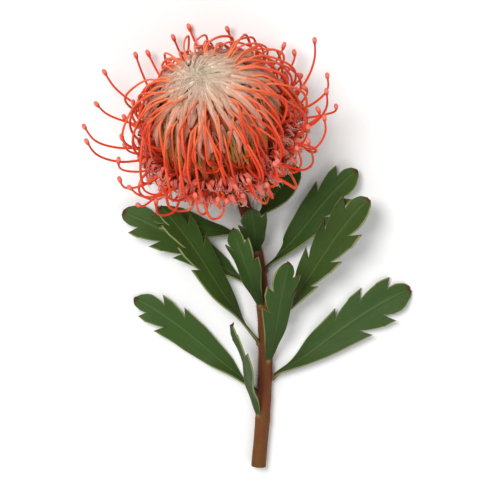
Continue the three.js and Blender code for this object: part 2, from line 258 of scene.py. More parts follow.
PLAN = Vector((-math.sin(HEAD_TURN), math.cos(HEAD_TURN), 0))  # where the head points, from above
HEAD_AXIS = PLAN * math.cos(HEAD_RISE) + UP * math.sin(HEAD_RISE)
STEM_REST = STEM_RADIUS_NECK - STEM_FLAT
STEM_END = MIDDLE + UP * (STEM_REST + NECK_BEND * (1 - math.cos(HEAD_RISE)))
HEAD_SEAT = STEM_END + HEAD_AXIS * SEAT_LIFT
HEAD_FRAME = Matrix.Translation(HEAD_SEAT) @ UP.rotation_difference(HEAD_AXIS).to_matrix().to_4x4()


def on_head(radius, height, angle):
    """A point of the head, in the model's frame, in millimetres."""
    return HEAD_FRAME @ Vector((radius * math.cos(angle), radius * math.sin(angle), height))


def lifted(point, clear):
    """The point, at least this high over the surface that the flower lies on."""
    return Vector((point.x, point.y, max(point.z, clear)))


def round_head(angle):
    """Direction round the head's axis at an angle, in the model's frame."""
    return (on_head(1, 0, angle + math.pi / 2) - on_head(0, 0, 0)).normalized()


def dome_height(radius):
    """Height of the dome over the seat of the involucre."""
    return blend(DOME_TOP_HEIGHT, DOME_RIM_HEIGHT, min(1, radius / DOME_RADIUS) ** 2.2)


def head_path(angle, stations, steps=6, clear=0.5):
    """A path through (radius, height, sideways) stations, kept clear of the surface below.

    Sideways is the length of an arc round the head's axis, and may be left out."""
    points = []
    for radius, height, *sideways in stations:
        turn = (sideways[0] if sideways else 0) / max(radius, INNER_ARC)
        points.append(lifted(on_head(radius, height, angle + turn), clear))
    return Path([lifted(point, clear) for point in centripetal(points, steps)])


def neck_point(share):
    """A point of the neck's bend, from the head at 0 to the lying stem at 1."""
    angle = HEAD_RISE * (1 - share)
    back = NECK_BEND * (math.sin(HEAD_RISE) - math.sin(angle))
    drop = NECK_BEND * (math.cos(angle) - math.cos(HEAD_RISE))
    return STEM_END - PLAN * back - UP * drop


def stem_path():
    """The middle line of the stem, from the head to the cut end."""
    cut_rest = STEM_RADIUS_CUT - STEM_FLAT
    points = [neck_point(share) for share in (0, 0.1, 0.5, 1)]
    for x, y, share in STEM_ROUTE:
        points.append(Vector((MIDDLE.x + x, MIDDLE.y + y, blend(STEM_REST, cut_rest, share))))
    return Path(centripetal(points, 24))


STEM_PATH = stem_path()


def stem_radius(share):
    """Radius of the stem, at a share of its length from the head."""
    return blend(STEM_RADIUS_NECK, STEM_RADIUS_CUT, min(1, share * 1.1))


# ---- helpers: meshes -----------------------------------------------------------------------------


def mesh_of(name, shape):
    """The smooth mesh of a finished shape, whose faces are made to point outwards."""
    bmesh.ops.recalc_face_normals(shape, faces=shape.faces)
    for face in shape.faces:
        face.smooth = True
    mesh = bpy.data.meshes.new(name)
    shape.to_mesh(mesh)
    shape.free()
    return mesh


def keep_clear(shape):
    """Holds a shape that is in metres just over the surface that the flower lies on."""
    for vert in shape.verts:
        vert.co.z = max(vert.co.z, BLADE_GAP * MM)


def radii_of(path, radius_at):
    """A radius for each point of a path, from a function of its share of the points."""
    last = len(path.points) - 1
    return [radius_at(point / last) for point in range(last + 1)]


def strand_mesh(name, strands, sides):
    """One mesh of round strands. A strand is (points in mm, radii in mm, tint from 0 to 1).

    A strand is closed at both ends and lies clear of the surface below. Each vertex carries how far
    along its strand it is and the strand's tint."""
    curve = bpy.data.curves.new(name, "CURVE")
    curve.dimensions = "3D"
    curve.bevel_depth = MM
    curve.bevel_resolution = (sides - 4) // 2
    for points, radii, _ in strands:
        spline = curve.splines.new("POLY")
        spline.points.add(len(points) - 1)
        flat = []
        for point, radius in zip(points, radii):
            flat += [point.x * MM, point.y * MM, max(point.z, radius + STRAND_GAP) * MM, 1]
        spline.points.foreach_set("co", flat)
        spline.points.foreach_set("radius", radii)
    holder = bpy.data.objects.new(name, curve)
    bpy.context.scene.collection.objects.link(holder)
    graph = bpy.context.evaluated_depsgraph_get()
    tubes = bpy.data.meshes.new_from_object(holder.evaluated_get(graph))
    bpy.data.objects.remove(holder)
    bpy.data.curves.remove(curve)
    while tubes.uv_layers:
        tubes.uv_layers.remove(tubes.uv_layers[0])

    # Each point of a strand has become one ring of vertices, in the same order.
    share, tint = [], []
    for points, _, shade in strands:
        for step in range(len(points)):
            share += [step / (len(points) - 1)] * sides
            tint += [shade] * sides
    tubes.attributes.new("along", "FLOAT", "POINT").data.foreach_set("value", share)
    tubes.attributes.new("tint", "FLOAT", "POINT").data.foreach_set("value", tint)
    shape = bmesh.new()
    shape.from_mesh(tubes)
    bpy.data.meshes.remove(tubes)
    bmesh.ops.holes_fill(shape, edges=[edge for edge in shape.edges if edge.is_boundary], sides=sides)
    return mesh_of(name, shape)


def turned_mesh(name, outline, segments):
    """A closed shape turned round the head's axis from a (radius, height) outline."""
    shape = bmesh.new()
    corners = [shape.verts.new((radius, 0, height)) for radius, height in outline]
    edges = [shape.edges.new(pair) for pair in zip(corners, corners[1:])]
    bmesh.ops.spin(
        shape,
        geom=corners + edges,
        cent=(0, 0, 0),
        axis=(0, 0, 1),
        angle=math.tau,
        steps=segments,
        use_merge=True,
    )
    bmesh.ops.remove_doubles(shape, verts=shape.verts, dist=1e-4)
    bmesh.ops.transform(shape, matrix=Matrix.Scale(MM, 4) @ HEAD_FRAME, verts=shape.verts)
    return mesh_of(name, shape)


def add_ribbon(shape, path, side, width_at, cup, columns, rows, tint):
    """Adds a thin cupped strip that follows a path, with its own along and tint."""
    share_layer = shape.verts.layers.float.get("along") or shape.verts.layers.float.new("along")
    tint_layer = shape.verts.layers.float.get("tint") or shape.verts.layers.float.new("tint")
    for vert in bmesh.ops.create_grid(shape, x_segments=columns, y_segments=rows, size=0.5)["verts"]:
        u, share = vert.co.x * 2, vert.co.y + 0.5
        tangent = path.tangent(share)
        out = side.cross(tangent).normalized()
        half = width_at(share) / 2
        vert[share_layer] = share
        vert[tint_layer] = tint
        vert.co = lifted(path.at(share) + side * u * half + out * half * cup * (1 - u * u), 0.3)


def ribbon_mesh(name, shape, thickness):
    """Turns the strips of a shape, in millimetres, into one thin solid mesh that knows its outer face."""
    outer = shape.verts.layers.float.new("outer")
    bmesh.ops.scale(shape, vec=(MM, MM, MM), verts=shape.verts)
    inner_verts = set(shape.verts)
    bmesh.ops.solidify(shape, geom=shape.faces[:], thickness=thickness * MM)
    for vert in shape.verts:
        vert[outer] = 0.0 if vert in inner_verts else 1.0
    keep_clear(shape)
    return mesh_of(name, shape)


def wool_on(path, radius_at, hair_radius, count, key, length, spread, start, end):
    """Hairs that lie along a strand, from one share of it to another, and stray from it a little."""
    hairs = []
    radii = [hair_radius, hair_radius * 0.9, hair_radius * 0.35]
    for i in range(count):
        hair = key * 173 + i
        share = blend(start, end, (i + 0.5 + 0.4 * draw(hair, 40)) / count)
        tangent = path.tangent(share)
        side = tangent.orthogonal().normalized()
        out = Matrix.Rotation(i * GOLDEN_ANGLE + draw(hair, 41), 3, tangent) @ side
        root = path.at(share) + out * radius_at(share) * 0.8
        reach = length * (1 + 0.4 * draw(hair, 42))
        drift = tangent.cross(out) * draw(hair, 43) * spread
        middle = root + (tangent + out * spread * 0.9 + drift * 0.6) * reach * 0.5
        tip = root + (tangent + out * spread * (0.6 + 0.9 * draw(hair, 44)) + drift) * reach
        route = [lifted(point, HAIR_GAP) for point in (root, middle, tip)]
        hairs.append((route, radii, tint_of(hair, 45)))
    return hairs


def piece(name, mesh, material, slot, *nodes):
    """A finished piece that rides on the flower and stands for the solids named."""
    mesh.materials.clear()
    mesh.materials.append(material)
    made = bpy.data.objects.new(name, mesh)
    bpy.context.scene.collection.objects.link(made)
    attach(made, "root")
    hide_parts(*nodes)


# ---- helpers: materials --------------------------------------------------------------------------


class Nodes:
    """A short way to write the nodes of one material or one group."""

    def __init__(self, tree):
        self.tree = tree

    def add(self, kind, inputs=(), **settings):
        node = self.tree.nodes.new(kind)
        for key, value in settings.items():
            setattr(node, key, value)
        for socket, value in dict(inputs).items():
            self.feed(node.inputs[socket], value)
        return node

    def feed(self, socket, value):
        if isinstance(value, bpy.types.NodeSocket):
            self.tree.links.new(value, socket)
        elif hasattr(value, "__len__") and len(value) == 3 and socket.type == "RGBA":
            socket.default_value = (*value, 1)
        else:
            socket.default_value = value

    def ramp(self, factor, stops):
        node = self.add("ShaderNodeValToRGB", {"Fac": factor})
        ramp = node.color_ramp
        for position, colour in stops[2:]:
            ramp.elements.new(position)
        for element, (position, colour) in zip(ramp.elements, sorted(stops, key=lambda stop: stop[0])):
            element.position = position
            element.color = (*colour, 1)
        return node.outputs["Color"]

    def mask(self, factor, stops):
        """A ramp from black to white, from (position, value) pairs."""
        return self.ramp(factor, [(position, (value, value, value)) for position, value in stops])

    def mix(self, factor, a, b):
        return self.add("ShaderNodeMix", {"Factor": factor, 6: a, 7: b}, data_type="RGBA").outputs[2]

    def tinge(self, body, mask, strength, colour):
        """The body colour, with another laid over it where a mask is bright."""
        return self.mix(self.math("MULTIPLY", mask, strength), body, colour)

    def math(self, operation, a, b=0.0, clamp=False):
        return self.add("ShaderNodeMath", {0: a, 1: b}, operation=operation, use_clamp=clamp).outputs[0]

    def attribute(self, name):
        return self.add("ShaderNodeAttribute", attribute_name=name).outputs["Fac"]

    def mottle(self, scale, contrast=2.0, stretch=(1, 1, 1), place=None):
        """Soft unevenness of its own scale and contrast, over the object or over another place."""
        place = place or self.add("ShaderNodeTexCoord").outputs["Object"]
        mapping = self.add("ShaderNodeMapping", {"Vector": place, "Scale": stretch})
        inputs = {"Vector": mapping.outputs["Vector"], "Scale": scale, "Contrast": contrast}
        return self.add("ShaderNodeGroup", inputs, node_tree=mottle_group()).outputs["Value"]


def mottle_group():
    """Soft, two-scale unevenness that every finish of the flower shares."""
    name = "Mottle"
    if name in bpy.data.node_groups:
        return bpy.data.node_groups[name]
    group = bpy.data.node_groups.new(name, "ShaderNodeTree")
    group.interface.new_socket("Vector", in_out="INPUT", socket_type="NodeSocketVector")
    for socket, value in (("Scale", 200.0), ("Contrast", 1.0)):
        made = group.interface.new_socket(socket, in_out="INPUT", socket_type="NodeSocketFloat")
        made.default_value = value
    group.interface.new_socket("Value", in_out="OUTPUT", socket_type="NodeSocketFloat")
    n = Nodes(group)
    given = n.add("NodeGroupInput").outputs
    place, scale = given["Vector"], given["Scale"]
    fine_scale = n.math("MULTIPLY", scale, 5.3)
    broad = n.add("ShaderNodeTexNoise", {"Vector": place, "Scale": scale, "Detail": 3.0}).outputs[0]
    fine = n.add("ShaderNodeTexNoise", {"Vector": place, "Scale": fine_scale, "Detail": 2.0}).outputs[0]
    both = n.math("ADD", n.math("MULTIPLY", broad, 0.65), n.math("MULTIPLY", fine, 0.35))
    centred = n.math("MULTIPLY", n.math("SUBTRACT", both, 0.5), given["Contrast"])
    value = n.math("ADD", centred, 0.5, clamp=True)
    n.tree.links.new(value, n.add("NodeGroupOutput").inputs["Value"])
    return group


FLESHY = {"Specular_IOR_Level": 0.28, "Subsurface_Weight": 0.05}  # for styles, tubes and curls
WOOLLY = {"Sheen_Weight": 0.25, "Sheen_Roughness": 0.4}
RELIEF = 0.4 * MM  # height of the bumps that a finish draws


def finish(name, roughness, bump=0.0, **constants):
    """Turns a function that paints colour, roughness and height into one that gives the material."""

    def decorated(paint):
        @wraps(paint)
        def material_of():
            if name in bpy.data.materials:
                return bpy.data.materials[name]
            material = bpy.data.materials.new(name)
            material.use_nodes = True
            n = Nodes(material.node_tree)
            shader = material.node_tree.nodes["Principled BSDF"]
            colour, rough, height = paint(n)
            n.feed(shader.inputs["Base Color"], colour)
            low, high = roughness
            spread = n.add("ShaderNodeMapRange", {"Value": rough, "To Min": low, "To Max": high})
            n.feed(shader.inputs["Roughness"], spread.outputs["Result"])
            if bump:
                relief = n.add("ShaderNodeBump", {"Height": height, "Strength": bump, "Distance": RELIEF})
                n.feed(shader.inputs["Normal"], relief.outputs["Normal"])
            for socket, value in constants.items():
                shader.inputs[socket.replace("_", " ")].default_value = value
            return material

        return material_of

    return decorated


def chosen(name):
    """One of the colours that a user would change."""
    return tuple(getattr(bpy.context.scene.protea_colours, name))


@finish("style orange", (0.34, 0.54), 0.25, **FLESHY)
def style_finish(n):
    """Orange-red, darkest at the foot and palest where the tip is caught."""
    share, tint = n.attribute("along"), n.attribute("tint")
    grain = n.mottle(320.0)
    # A low tint gives the deep red; on the close loops that deep red is painted shade.
    body = n.mix(tint, chosen("style_deep_and_shade"), chosen("style"))
    root = n.mask(share, [(0.0, 1), (0.25, 0.4), (0.45, 0)])
    body = n.mix(root, body, (0.52, 0.035, 0.012))
    end = n.mask(share, [(0.55, 0), (0.8, 0.4), (1.0, 0.95)])
    body = n.mix(end, body, (0.90, 0.27, 0.105))
    body = n.tinge(body, grain, 0.2, (0.94, 0.15, 0.04))
    return body, grain, grain


@finish("free style orange", (0.34, 0.54), 0.25, **FLESHY)
def free_style_finish(n):
    """Orange-red, with a pink knob that darkens to its point."""
    share, tint = n.attribute("along"), n.attribute("tint")
    grain = n.mottle(320.0)
    body = n.mix(tint, chosen("style_deep_and_shade"), chosen("style"))
    tip = n.mask(share, [(0.0, 0), (0.78, 0), (0.9, 1)])
    body = n.mix(tip, body, chosen("knob"))
    point = n.mask(share, [(0.0, 0), (0.93, 0), (1.0, 1)])
    body = n.tinge(body, point, 0.55, (0.42, 0.07, 0.14))
    return body, grain, grain


def head_place(n):
    """Distance from the head's axis and height along it, in millimetres, from Object coordinates."""
    back = HEAD_FRAME.inverted()
    place, turn = tuple(back.translation), tuple(back.to_euler())
    coordinates = n.add("ShaderNodeTexCoord").outputs["Object"]
    scaled = n.add("ShaderNodeVectorMath", {0: coordinates}, operation="SCALE")
    scaled.inputs["Scale"].default_value = 1 / MM
    mapped = n.add(
        "ShaderNodeMapping", {"Vector": scaled.outputs[0], "Location": place, "Rotation": turn}
    )
    x, y, height = n.add("ShaderNodeSeparateXYZ", {0: mapped.outputs["Vector"]}).outputs
    squares = n.math("ADD", n.math("POWER", x, 2.0), n.math("POWER", y, 2.0))
    return n.math("SQRT", squares), height


@finish("dome wool", (0.8, 0.95), 0.3, **WOOLLY)
def dome_wool_finish(n):
    """Greenish in the middle of the dome, then cream, and pink towards its rim."""
    radius, height = head_place(n)
    tint, share = n.attribute("tint"), n.attribute("along")
    fallen = n.math("MULTIPLY", n.math("SUBTRACT", DOME_RIM_HEIGHT, height), 0.035)
    fallen = n.math("MAXIMUM", fallen, 0.0)
    reach = n.math("ADD", n.math("DIVIDE", radius, 36.0), fallen, clamp=True)
    body = n.ramp(
        reach,
        [
            (0.0, (0.56, 0.53, 0.33)),
            (0.07, (0.72, 0.66, 0.47)),
            (0.2, chosen("wool")),
            (0.42, (0.74, 0.42, 0.265)),
            (0.64, chosen("wool_rim")),
            (0.82, (0.69, 0.28, 0.18)),
            (1.0, (0.68, 0.16, 0.09)),
        ],
    )
    shade = n.mottle(150.0, 2.8)
    # Strands with a high tint are darkened towards brown: painted shade that sets the strands apart.
    body = n.tinge(body, tint, 0.62, (0.48, 0.22, 0.135))
    pale = n.mask(reach, [(0.3, 0.34), (0.9, 0.12)])
    body = n.tinge(body, shade, pale, (0.88, 0.77, 0.66))
    return body, share, shade


@finish("rim wool", (0.8, 0.95), 0.2, **WOOLLY)
def rim_wool_finish(n):
    """Pale pink wool of the curled tips and the claws."""
    tint, share = n.attribute("tint"), n.attribute("along")
    shade = n.mottle(220.0, 2.6)
    body = n.mix(tint, (0.84, 0.52, 0.38), (0.76, 0.29, 0.19))
    body = n.tinge(body, shade, 0.4, (0.86, 0.72, 0.58))
    return body, share, shade


@finish("perianth tube", (0.42, 0.62), 0.35, **FLESHY)
def tube_finish(n):
    """Yellow-green at the foot of the cone, and red towards its rim."""
    share, tint = n.attribute("along"), n.attribute("tint")
    streak = n.mottle(260.0, 2.4)
    uneven = n.math("MULTIPLY", n.math("SUBTRACT", tint, 0.5), 0.26)
    place = n.math("ADD", share, uneven, clamp=True)
    body = n.ramp(
        place,
        [
            (0.0, (0.50, 0.51, 0.29)),
            (0.2, (0.45, 0.47, 0.16)),
            (0.42, chosen("tube")),
            (0.58, (0.50, 0.25, 0.03)),
            (0.72, (0.66, 0.12, 0.018)),
            (0.95, (0.70, 0.050, 0.014)),
        ],
    )
    body = n.tinge(body, streak, 0.3, (0.26, 0.16, 0.03))
    return body, streak, streak


@finish("curled perianth red", (0.5, 0.75), 0.3, **FLESHY)
def curl_finish(n):
    """Red with a yellow foot, and pink felt on the outer face."""
    share, tint, outer = n.attribute("along"), n.attribute("tint"), n.attribute("outer")
    grain = n.mottle(420.0, 2.4)
    body = n.mix(tint, chosen("curl"), (0.80, 0.085, 0.035))
    foot = n.mask(share, [(0.0, 1), (0.3, 0)])
    body = n.tinge(body, foot, 0.6, (0.48, 0.34, 0.07))
    body = n.tinge(body, grain, 0.3, (0.38, 0.02, 0.02))
    downy = n.math("MULTIPLY", outer, n.mask(share, [(0.25, 0), (0.7, 0.62)]))
    felt = n.mix(grain, (0.68, 0.13, 0.08), (0.80, 0.44, 0.34))
    body = n.mix(downy, body, felt)
    return body, grain, grain


@finish("perianth claw", (0.5, 0.75), 0.3)
def claw_finish(n):
    """Orange strips that turn olive and then pale towards the wool."""
    share, tint = n.attribute("along"), n.attribute("tint")
    grain = n.mottle(300.0, 2.4)
    body = n.ramp(
        share,
        [
            (0.0, (0.68, 0.050, 0.010)),
            (0.3, (0.66, 0.130, 0.018)),
            (0.55, (0.44, 0.29, 0.04)),
            (0.8, (0.47, 0.31, 0.075)),
            (1.0, (0.68, 0.42, 0.30)),
        ],
    )
    redder = n.mask(tint, [(0.5, 0), (0.85, 0.75)])
    body = n.mix(redder, body, (0.64, 0.060, 0.016))
    body = n.tinge(body, grain, 0.25, (0.24, 0.06, 0.010))
    return body, grain, grain


@finish("packed floret bases", (0.7, 0.9), 0.6)
def core_finish(n):
    """Dull orange-red of what shows between the strips."""
    grain = n.mottle(260.0, 2.6)
    body = n.mix(grain, (0.40, 0.024, 0.006), (0.50, 0.130, 0.022))
    return body, grain, grain


@finish("downy bract", (0.8, 0.95), 0.5, Sheen_Weight=0.3)
def bract_finish(n):
    """Grey-green down over brown, with a dark point."""
    share, tint = n.attribute("along"), n.attribute("tint")
    grain = n.mottle(420.0, 2.6)
    body = n.mix(tint, (0.40, 0.37, 0.21), (0.22, 0.16, 0.09))
    point = n.mask(share, [(0.6, 0), (0.92, 1)])
    body = n.tinge(body, point, 0.9, (0.10, 0.040, 0.022))
    body = n.tinge(body, grain, 0.4, (0.52, 0.48, 0.36))
    return body, grain, grain


@finish("bract cup", (0.8, 0.95), 0.5)
def cup_finish(n):
    """Brown of the cup between the bracts."""
    grain = n.mottle(380.0, 2.6)
    return n.mix(grain, (0.16, 0.12, 0.06), (0.34, 0.28, 0.16)), grain, grain


@finish("bract hair", (0.7, 0.9), 0.1)
def bract_hair_finish(n):
    """Dark brown to straw."""
    tint, share = n.attribute("tint"), n.attribute("along")
    shade = n.mottle(300.0, 2.0)
    body = n.mix(tint, (0.10, 0.055, 0.035), (0.36, 0.30, 0.22))
    return n.tinge(body, shade, 0.4, (0.20, 0.13, 0.08)), share, shade


@finish("stem down", (0.8, 0.95), 0.1)
def down_finish(n):
    """Pinkish brown."""
    tint, share = n.attribute("tint"), n.attribute("along")
    shade = n.mottle(200.0, 2.0)
    body = n.mix(tint, (0.36, 0.15, 0.10), (0.44, 0.29, 0.19))
    return n.tinge(body, shade, 0.3, (0.40, 0.18, 0.14)), share, shade


@finish("leaf cushion", (0.5, 0.75), 0.4, Specular_IOR_Level=0.35)
def cushion_finish(n):
    """Brown-red that turns green towards the leaf."""
    share, tint = n.attribute("along"), n.attribute("tint")
    grain = n.mottle(420.0, 2.4)
    stops = [(0.0, (0.22, 0.045, 0.022)), (0.55, (0.22, 0.085, 0.028)), (1.0, (0.18, 0.15, 0.040))]
    body = n.ramp(share, stops)
    body = n.tinge(body, tint, 0.4, (0.26, 0.15, 0.05))
    return n.tinge(body, grain, 0.3, (0.10, 0.04, 0.02)), grain, grain


@finish("stem bark", (0.5, 0.75), 0.6, Specular_IOR_Level=0.2)
def stem_finish(n):
    """Crimson bark that turns tan lower down, and the pale wood of the cut end."""
    share = n.attribute("along")
    grain = n.mottle(520.0, 2.2, (1, 0.22, 1))
    streak = n.mottle(330.0, 3.0, (1, 0.14, 1))
    patch = n.mottle(90.0, 4.0, (1, 0.6, 1))
    body = n.ramp(
        share,
        [
            (0.05, chosen("stem_top")),
            (0.24, (0.24, 0.034, 0.018)),
            (0.40, (0.19, 0.070, 0.013)),
            (0.8, chosen("stem_low")),
        ],
    )
    flush = n.mask(patch, [(0.35, 0), (0.8, 0.8)])
    body = n.mix(flush, body, (0.165, 0.026, 0.012))
    body = n.tinge(body, streak, 0.45, (0.095, 0.036, 0.010))
    body = n.tinge(body, grain, 0.3, (0.23, 0.10, 0.025))
    wood = n.math("GREATER_THAN", share, 1.0005)  # only the cut wood has more, up to CUT_MARK
    inward = n.math("SUBTRACT", share, 1.0, clamp=True)
    ring = n.ramp(inward, [(0.0, (0.18, 0.12, 0.04)), (0.2, (0.42, 0.40, 0.20))])
    body = n.mix(wood, body, ring)
    return body, grain, n.math("ADD", n.math("MULTIPLY", streak, 0.6), n.math("MULTIPLY", grain, 0.4))


@finish("leaf green", (0.44, 0.62), 0.35, Specular_IOR_Level=0.16, Subsurface_Weight=0.02)
def leaf_finish(n):
    """Dark green with a pale midrib, side veins and margin, and dark red points to its teeth."""
    blade_map = n.add("ShaderNodeUVMap", uv_map="blade").outputs["UV"]
    vein_map = n.add("ShaderNodeUVMap", uv_map="veins").outputs["UV"]
    blade = n.add("ShaderNodeSeparateXYZ", {0: blade_map})
    lines = n.add("ShaderNodeSeparateXYZ", {0: vein_map})
    tint, callus = n.attribute("tint"), n.attribute("callus")
    patch = n.mottle(55.0, 2.4)
    grain = n.mottle(900.0, 2.0)
    side = n.math("ABSOLUTE", n.math("SUBTRACT", lines.outputs[0], 0.5))
    share = blade.outputs[1]
    spread = n.math("SUBTRACT", n.math("MULTIPLY", side, 15.0), n.math("MULTIPLY", share, 2.2))
    wander = n.math("MULTIPLY", n.mottle(90.0, 1.0), 0.5)
    comb = n.math("PINGPONG", n.math("ADD", spread, wander), 0.5)
    vein = n.mask(comb, [(0.0, 0.55), (0.09, 0)])
    midrib = n.mask(side, [(0.0, 1), (0.012, 0.8), (0.035, 0)])
    veins = n.math("MAXIMUM", midrib, n.math("MULTIPLY", vein, 0.55))
    body = n.mix(tint, chosen("leaf"), (0.046, 0.086, 0.026))
    body = n.tinge(body, patch, 0.6, (0.026, 0.058, 0.010))
    # Darker towards the leaf's foot, near the stem: painted shade.
    dark = n.mask(share, [(0.0, 0.75), (0.55, 0)])
    body = n.mix(dark, body, (0.026, 0.052, 0.012))
    # Lighter bands along the blade: painted light of lengthwise folds that the blade's shape does not have.
    streak = n.mottle(1.0, 3.0, (16, 3, 1), vein_map)
    body = n.tinge(body, streak, 0.5, (0.056, 0.106, 0.022))
    body = n.tinge(body, veins, 0.34, (0.13, 0.20, 0.060))
    rim = n.math("ABSOLUTE", n.math("SUBTRACT", blade.outputs[0], 0.5))
    edge = n.mask(rim, [(0.0, 0), (0.47, 0), (0.492, 1)])
    body = n.tinge(body, edge, 0.75, chosen("leaf_margin"))
    foot = n.mask(share, [(0.0, 1), (0.015, 0.8), (0.07, 0)])
    body = n.mix(foot, body, (0.16, 0.085, 0.026))
    body = n.mix(callus, body, (0.09, 0.022, 0.016))
    height = n.math("ADD", n.math("MULTIPLY", veins, 0.6), n.math("MULTIPLY", grain, 0.2))
    return body, patch, height


@finish("studio floor", (0.85, 0.95))
def floor_finish(n):
    """Plain pale floor."""
    grain = n.mottle(3.0, 1.0)
    return n.mix(grain, (0.93, 0.93, 0.92), (0.95, 0.95, 0.945)), grain, grain


# ---- pieces --------------------------------------------------------------------------------------


def stem_direction(share, around):
    """Tangent towards the head, and the direction that leaves the stem at an angle round it."""
    towards = -STEM_PATH.tangent(share)
    right = towards.cross(UP).normalized()
    up = right.cross(towards)
    return towards, right * math.cos(around) + up * math.sin(around)


STEM_RINGS = 170
STEM_SIDES = 22
LEAF_SWELLING = 0.045  # how much thicker the stem grows at each leaf
BARK_EDGE = 0.45
WOOD_EDGE = 0.9
WOOD_RISE = 0.12
CUT_MARK = 1.2  # value of along in the middle of the cut end
CUSHION_GIRTHS = [0.5, 1.35, 1.45, 0.7]
DOWN_HAIRS = 1500
DOWN_REACH = 0.8  # the share of the stem that is downy


def bark_mesh():
    """The round stem, a little thicker at each leaf, with the wood of its cut end inside the bark."""
    points, radii = [], []
    for ring in range(STEM_RINGS + 1):
        share = ring / STEM_RINGS
        swell = 1 + 0.012 * math.sin(ring * 0.19) + 0.006 * math.sin(ring * 0.43 + 1)
        for leaf in LEAVES:
            swell += LEAF_SWELLING * smooth(1 - abs(share * STEM_PATH.length - leaf.below - 2) / 4)
        points.append(STEM_PATH.at(share))
        radii.append(stem_radius(share) * swell)
    mesh = strand_mesh("stem bark", [(points, radii, 0.5)], STEM_SIDES)
    shape = bmesh.new()
    shape.from_mesh(mesh)
    ends = [face for face in shape.faces if len(face.verts) == STEM_SIDES]
    cut_end = min(ends, key=lambda face: face.calc_center_median().y)
    bmesh.ops.inset_region(shape, faces=[cut_end], thickness=BARK_EDGE * MM, depth=0.0)
    bmesh.ops.inset_region(shape, faces=[cut_end], thickness=WOOD_EDGE * MM, depth=WOOD_RISE * MM)
    layer = shape.verts.layers.float["along"]
    for vert in cut_end.verts:
        vert[layer] = CUT_MARK
    cut_end.smooth = False
    shape.to_mesh(mesh)
    shape.free()
    return mesh


def cushion_mesh():
    """The small swellings that the leaves stand on."""
    cushions = []
    for i, leaf in enumerate(LEAVES):
        share = leaf.below / STEM_PATH.length
        towards, outward = stem_direction(share, math.radians(leaf.around))
        centre, radius = STEM_PATH.at(share), stem_radius(share)
        route = [
            centre - towards * 4.2 + outward * (radius - 1.5),
            centre - towards * 1.6 + outward * (radius - 0.9),
            centre + outward * (radius + 0.1),
            centre + towards * 0.9 + outward * (radius + 0.9),
        ]
        cushions.append((route, CUSHION_GIRTHS, tint_of(i, 52)))
    return strand_mesh("leaf cushions", cushions, 12)


def down_mesh():
    """Short hairs on the stem, which stand closest together near the head."""
    down = []
    for i in range(DOWN_HAIRS):
        share = (i / DOWN_HAIRS) ** 1.5 * DOWN_REACH
        towards, outward = stem_direction(share, i * GOLDEN_ANGLE)
        root = STEM_PATH.at(share) + outward * stem_radius(share)
        lean = towards * (0.3 + 0.5 * draw(i, 53)) + outward
        tip = root + lean * (0.8 + 0.35 * draw(i, 54))
        route = [lifted(root, HAIR_GAP), lifted(tip, HAIR_GAP)]
        down.append((route, [0.05, 0.02], tint_of(i, 55)))
    return strand_mesh("stem down", down, 4)


class PROTEA_OT_stem(bpy.types.Operator):
    """Adds the round stem with its bark, its pale cut end, its leaf cushions and its down"""

    bl_idname = "protea.stem"
    bl_label = "Stem"
    bl_options = {"REGISTER", "UNDO"}

    def execute(self, context):
        piece("stem_bark", bark_mesh(), stem_finish(), "stem", "stem")
        piece("leaf_cushions", cushion_mesh(), cushion_finish(), "stem", "stem")
        piece("stem_down", down_mesh(), down_finish(), "stem", "stem")
        return {"FINISHED"}


BLADE_OUTLINE = [
    (0, 0.18), (0.04, 0.22), (0.15, 0.36), (0.35, 0.66), (0.55, 0.92), (0.7, 1), (0.84, 0.88), (0.93, 0.62),
    (0.98, 0.34), (1, 0.08),
]
MIDRIB_STEPS = 60
BLADE_COLUMNS = 24
BLADE_ROWS = 90
NOTCH_HALF = 0.15  # half the distance between the two rows at the foot of a notch
NOTCH_LENGTH = 0.47  # how far a notch runs on past its foot, in widths of the blade
TOOTH_LENGTH = 0.5  # how far a tooth runs back from the notch's foot, in widths of the blade
UNTOOTHED = 0.4  # the share of the half width that the teeth leave alone


def leaf_frame(leaf):
    """Path of a leaf's midrib, and the direction across it at its foot."""
    share = leaf.below / STEM_PATH.length
    towards, outward = stem_direction(share, math.radians(leaf.around))

    def heading(degrees):
        return towards * math.cos(math.radians(degrees)) + outward * math.sin(math.radians(degrees))

    root = STEM_PATH.at(share) + outward * (stem_radius(share) * 1.05 + 0.7)
    tip = root + heading(leaf.lean) * leaf.length * 0.96
    tip.z = leaf.tip_height
    rise = root + heading(leaf.leave) * leaf.length * 0.36
    fall = tip - heading(leaf.lean + 12) * leaf.length * 0.33
    fall.z = max(fall.z, leaf.tip_height + leaf.length * 0.05)
    points = [root - outward * 0.85 - towards * 1.3]
    for step in range(1, MIDRIB_STEPS + 1):
        t = step / MIDRIB_STEPS
        points.append(
            root * (1 - t) ** 3 + rise * 3 * t * (1 - t) ** 2 + fall * 3 * t**2 * (1 - t) + tip * t**3
        )
    return Path(points), (rise - root).normalized().cross(outward)


def tooth_places(leaf, length):
    """(side, distance of the notch's foot from the leaf's) for each tooth of a leaf."""
    return [(-1 if i % 2 else 1, length - leaf.width * (0.52 + 0.34 * i)) for i in range(leaf.teeth)]


def leaf_rows(length, teeth):
    """Distances from the leaf's foot where its rows lie, with two rows close together at each notch."""
    rows = [length * i / BLADE_ROWS for i in range(BLADE_ROWS + 1)]
    for _, foot in teeth:
        rows = [row for row in rows if not foot - 2 * NOTCH_HALF < row < foot + 3 * NOTCH_HALF]
        rows += [foot - NOTCH_HALF, foot + NOTCH_HALF]
    return sorted(rows)


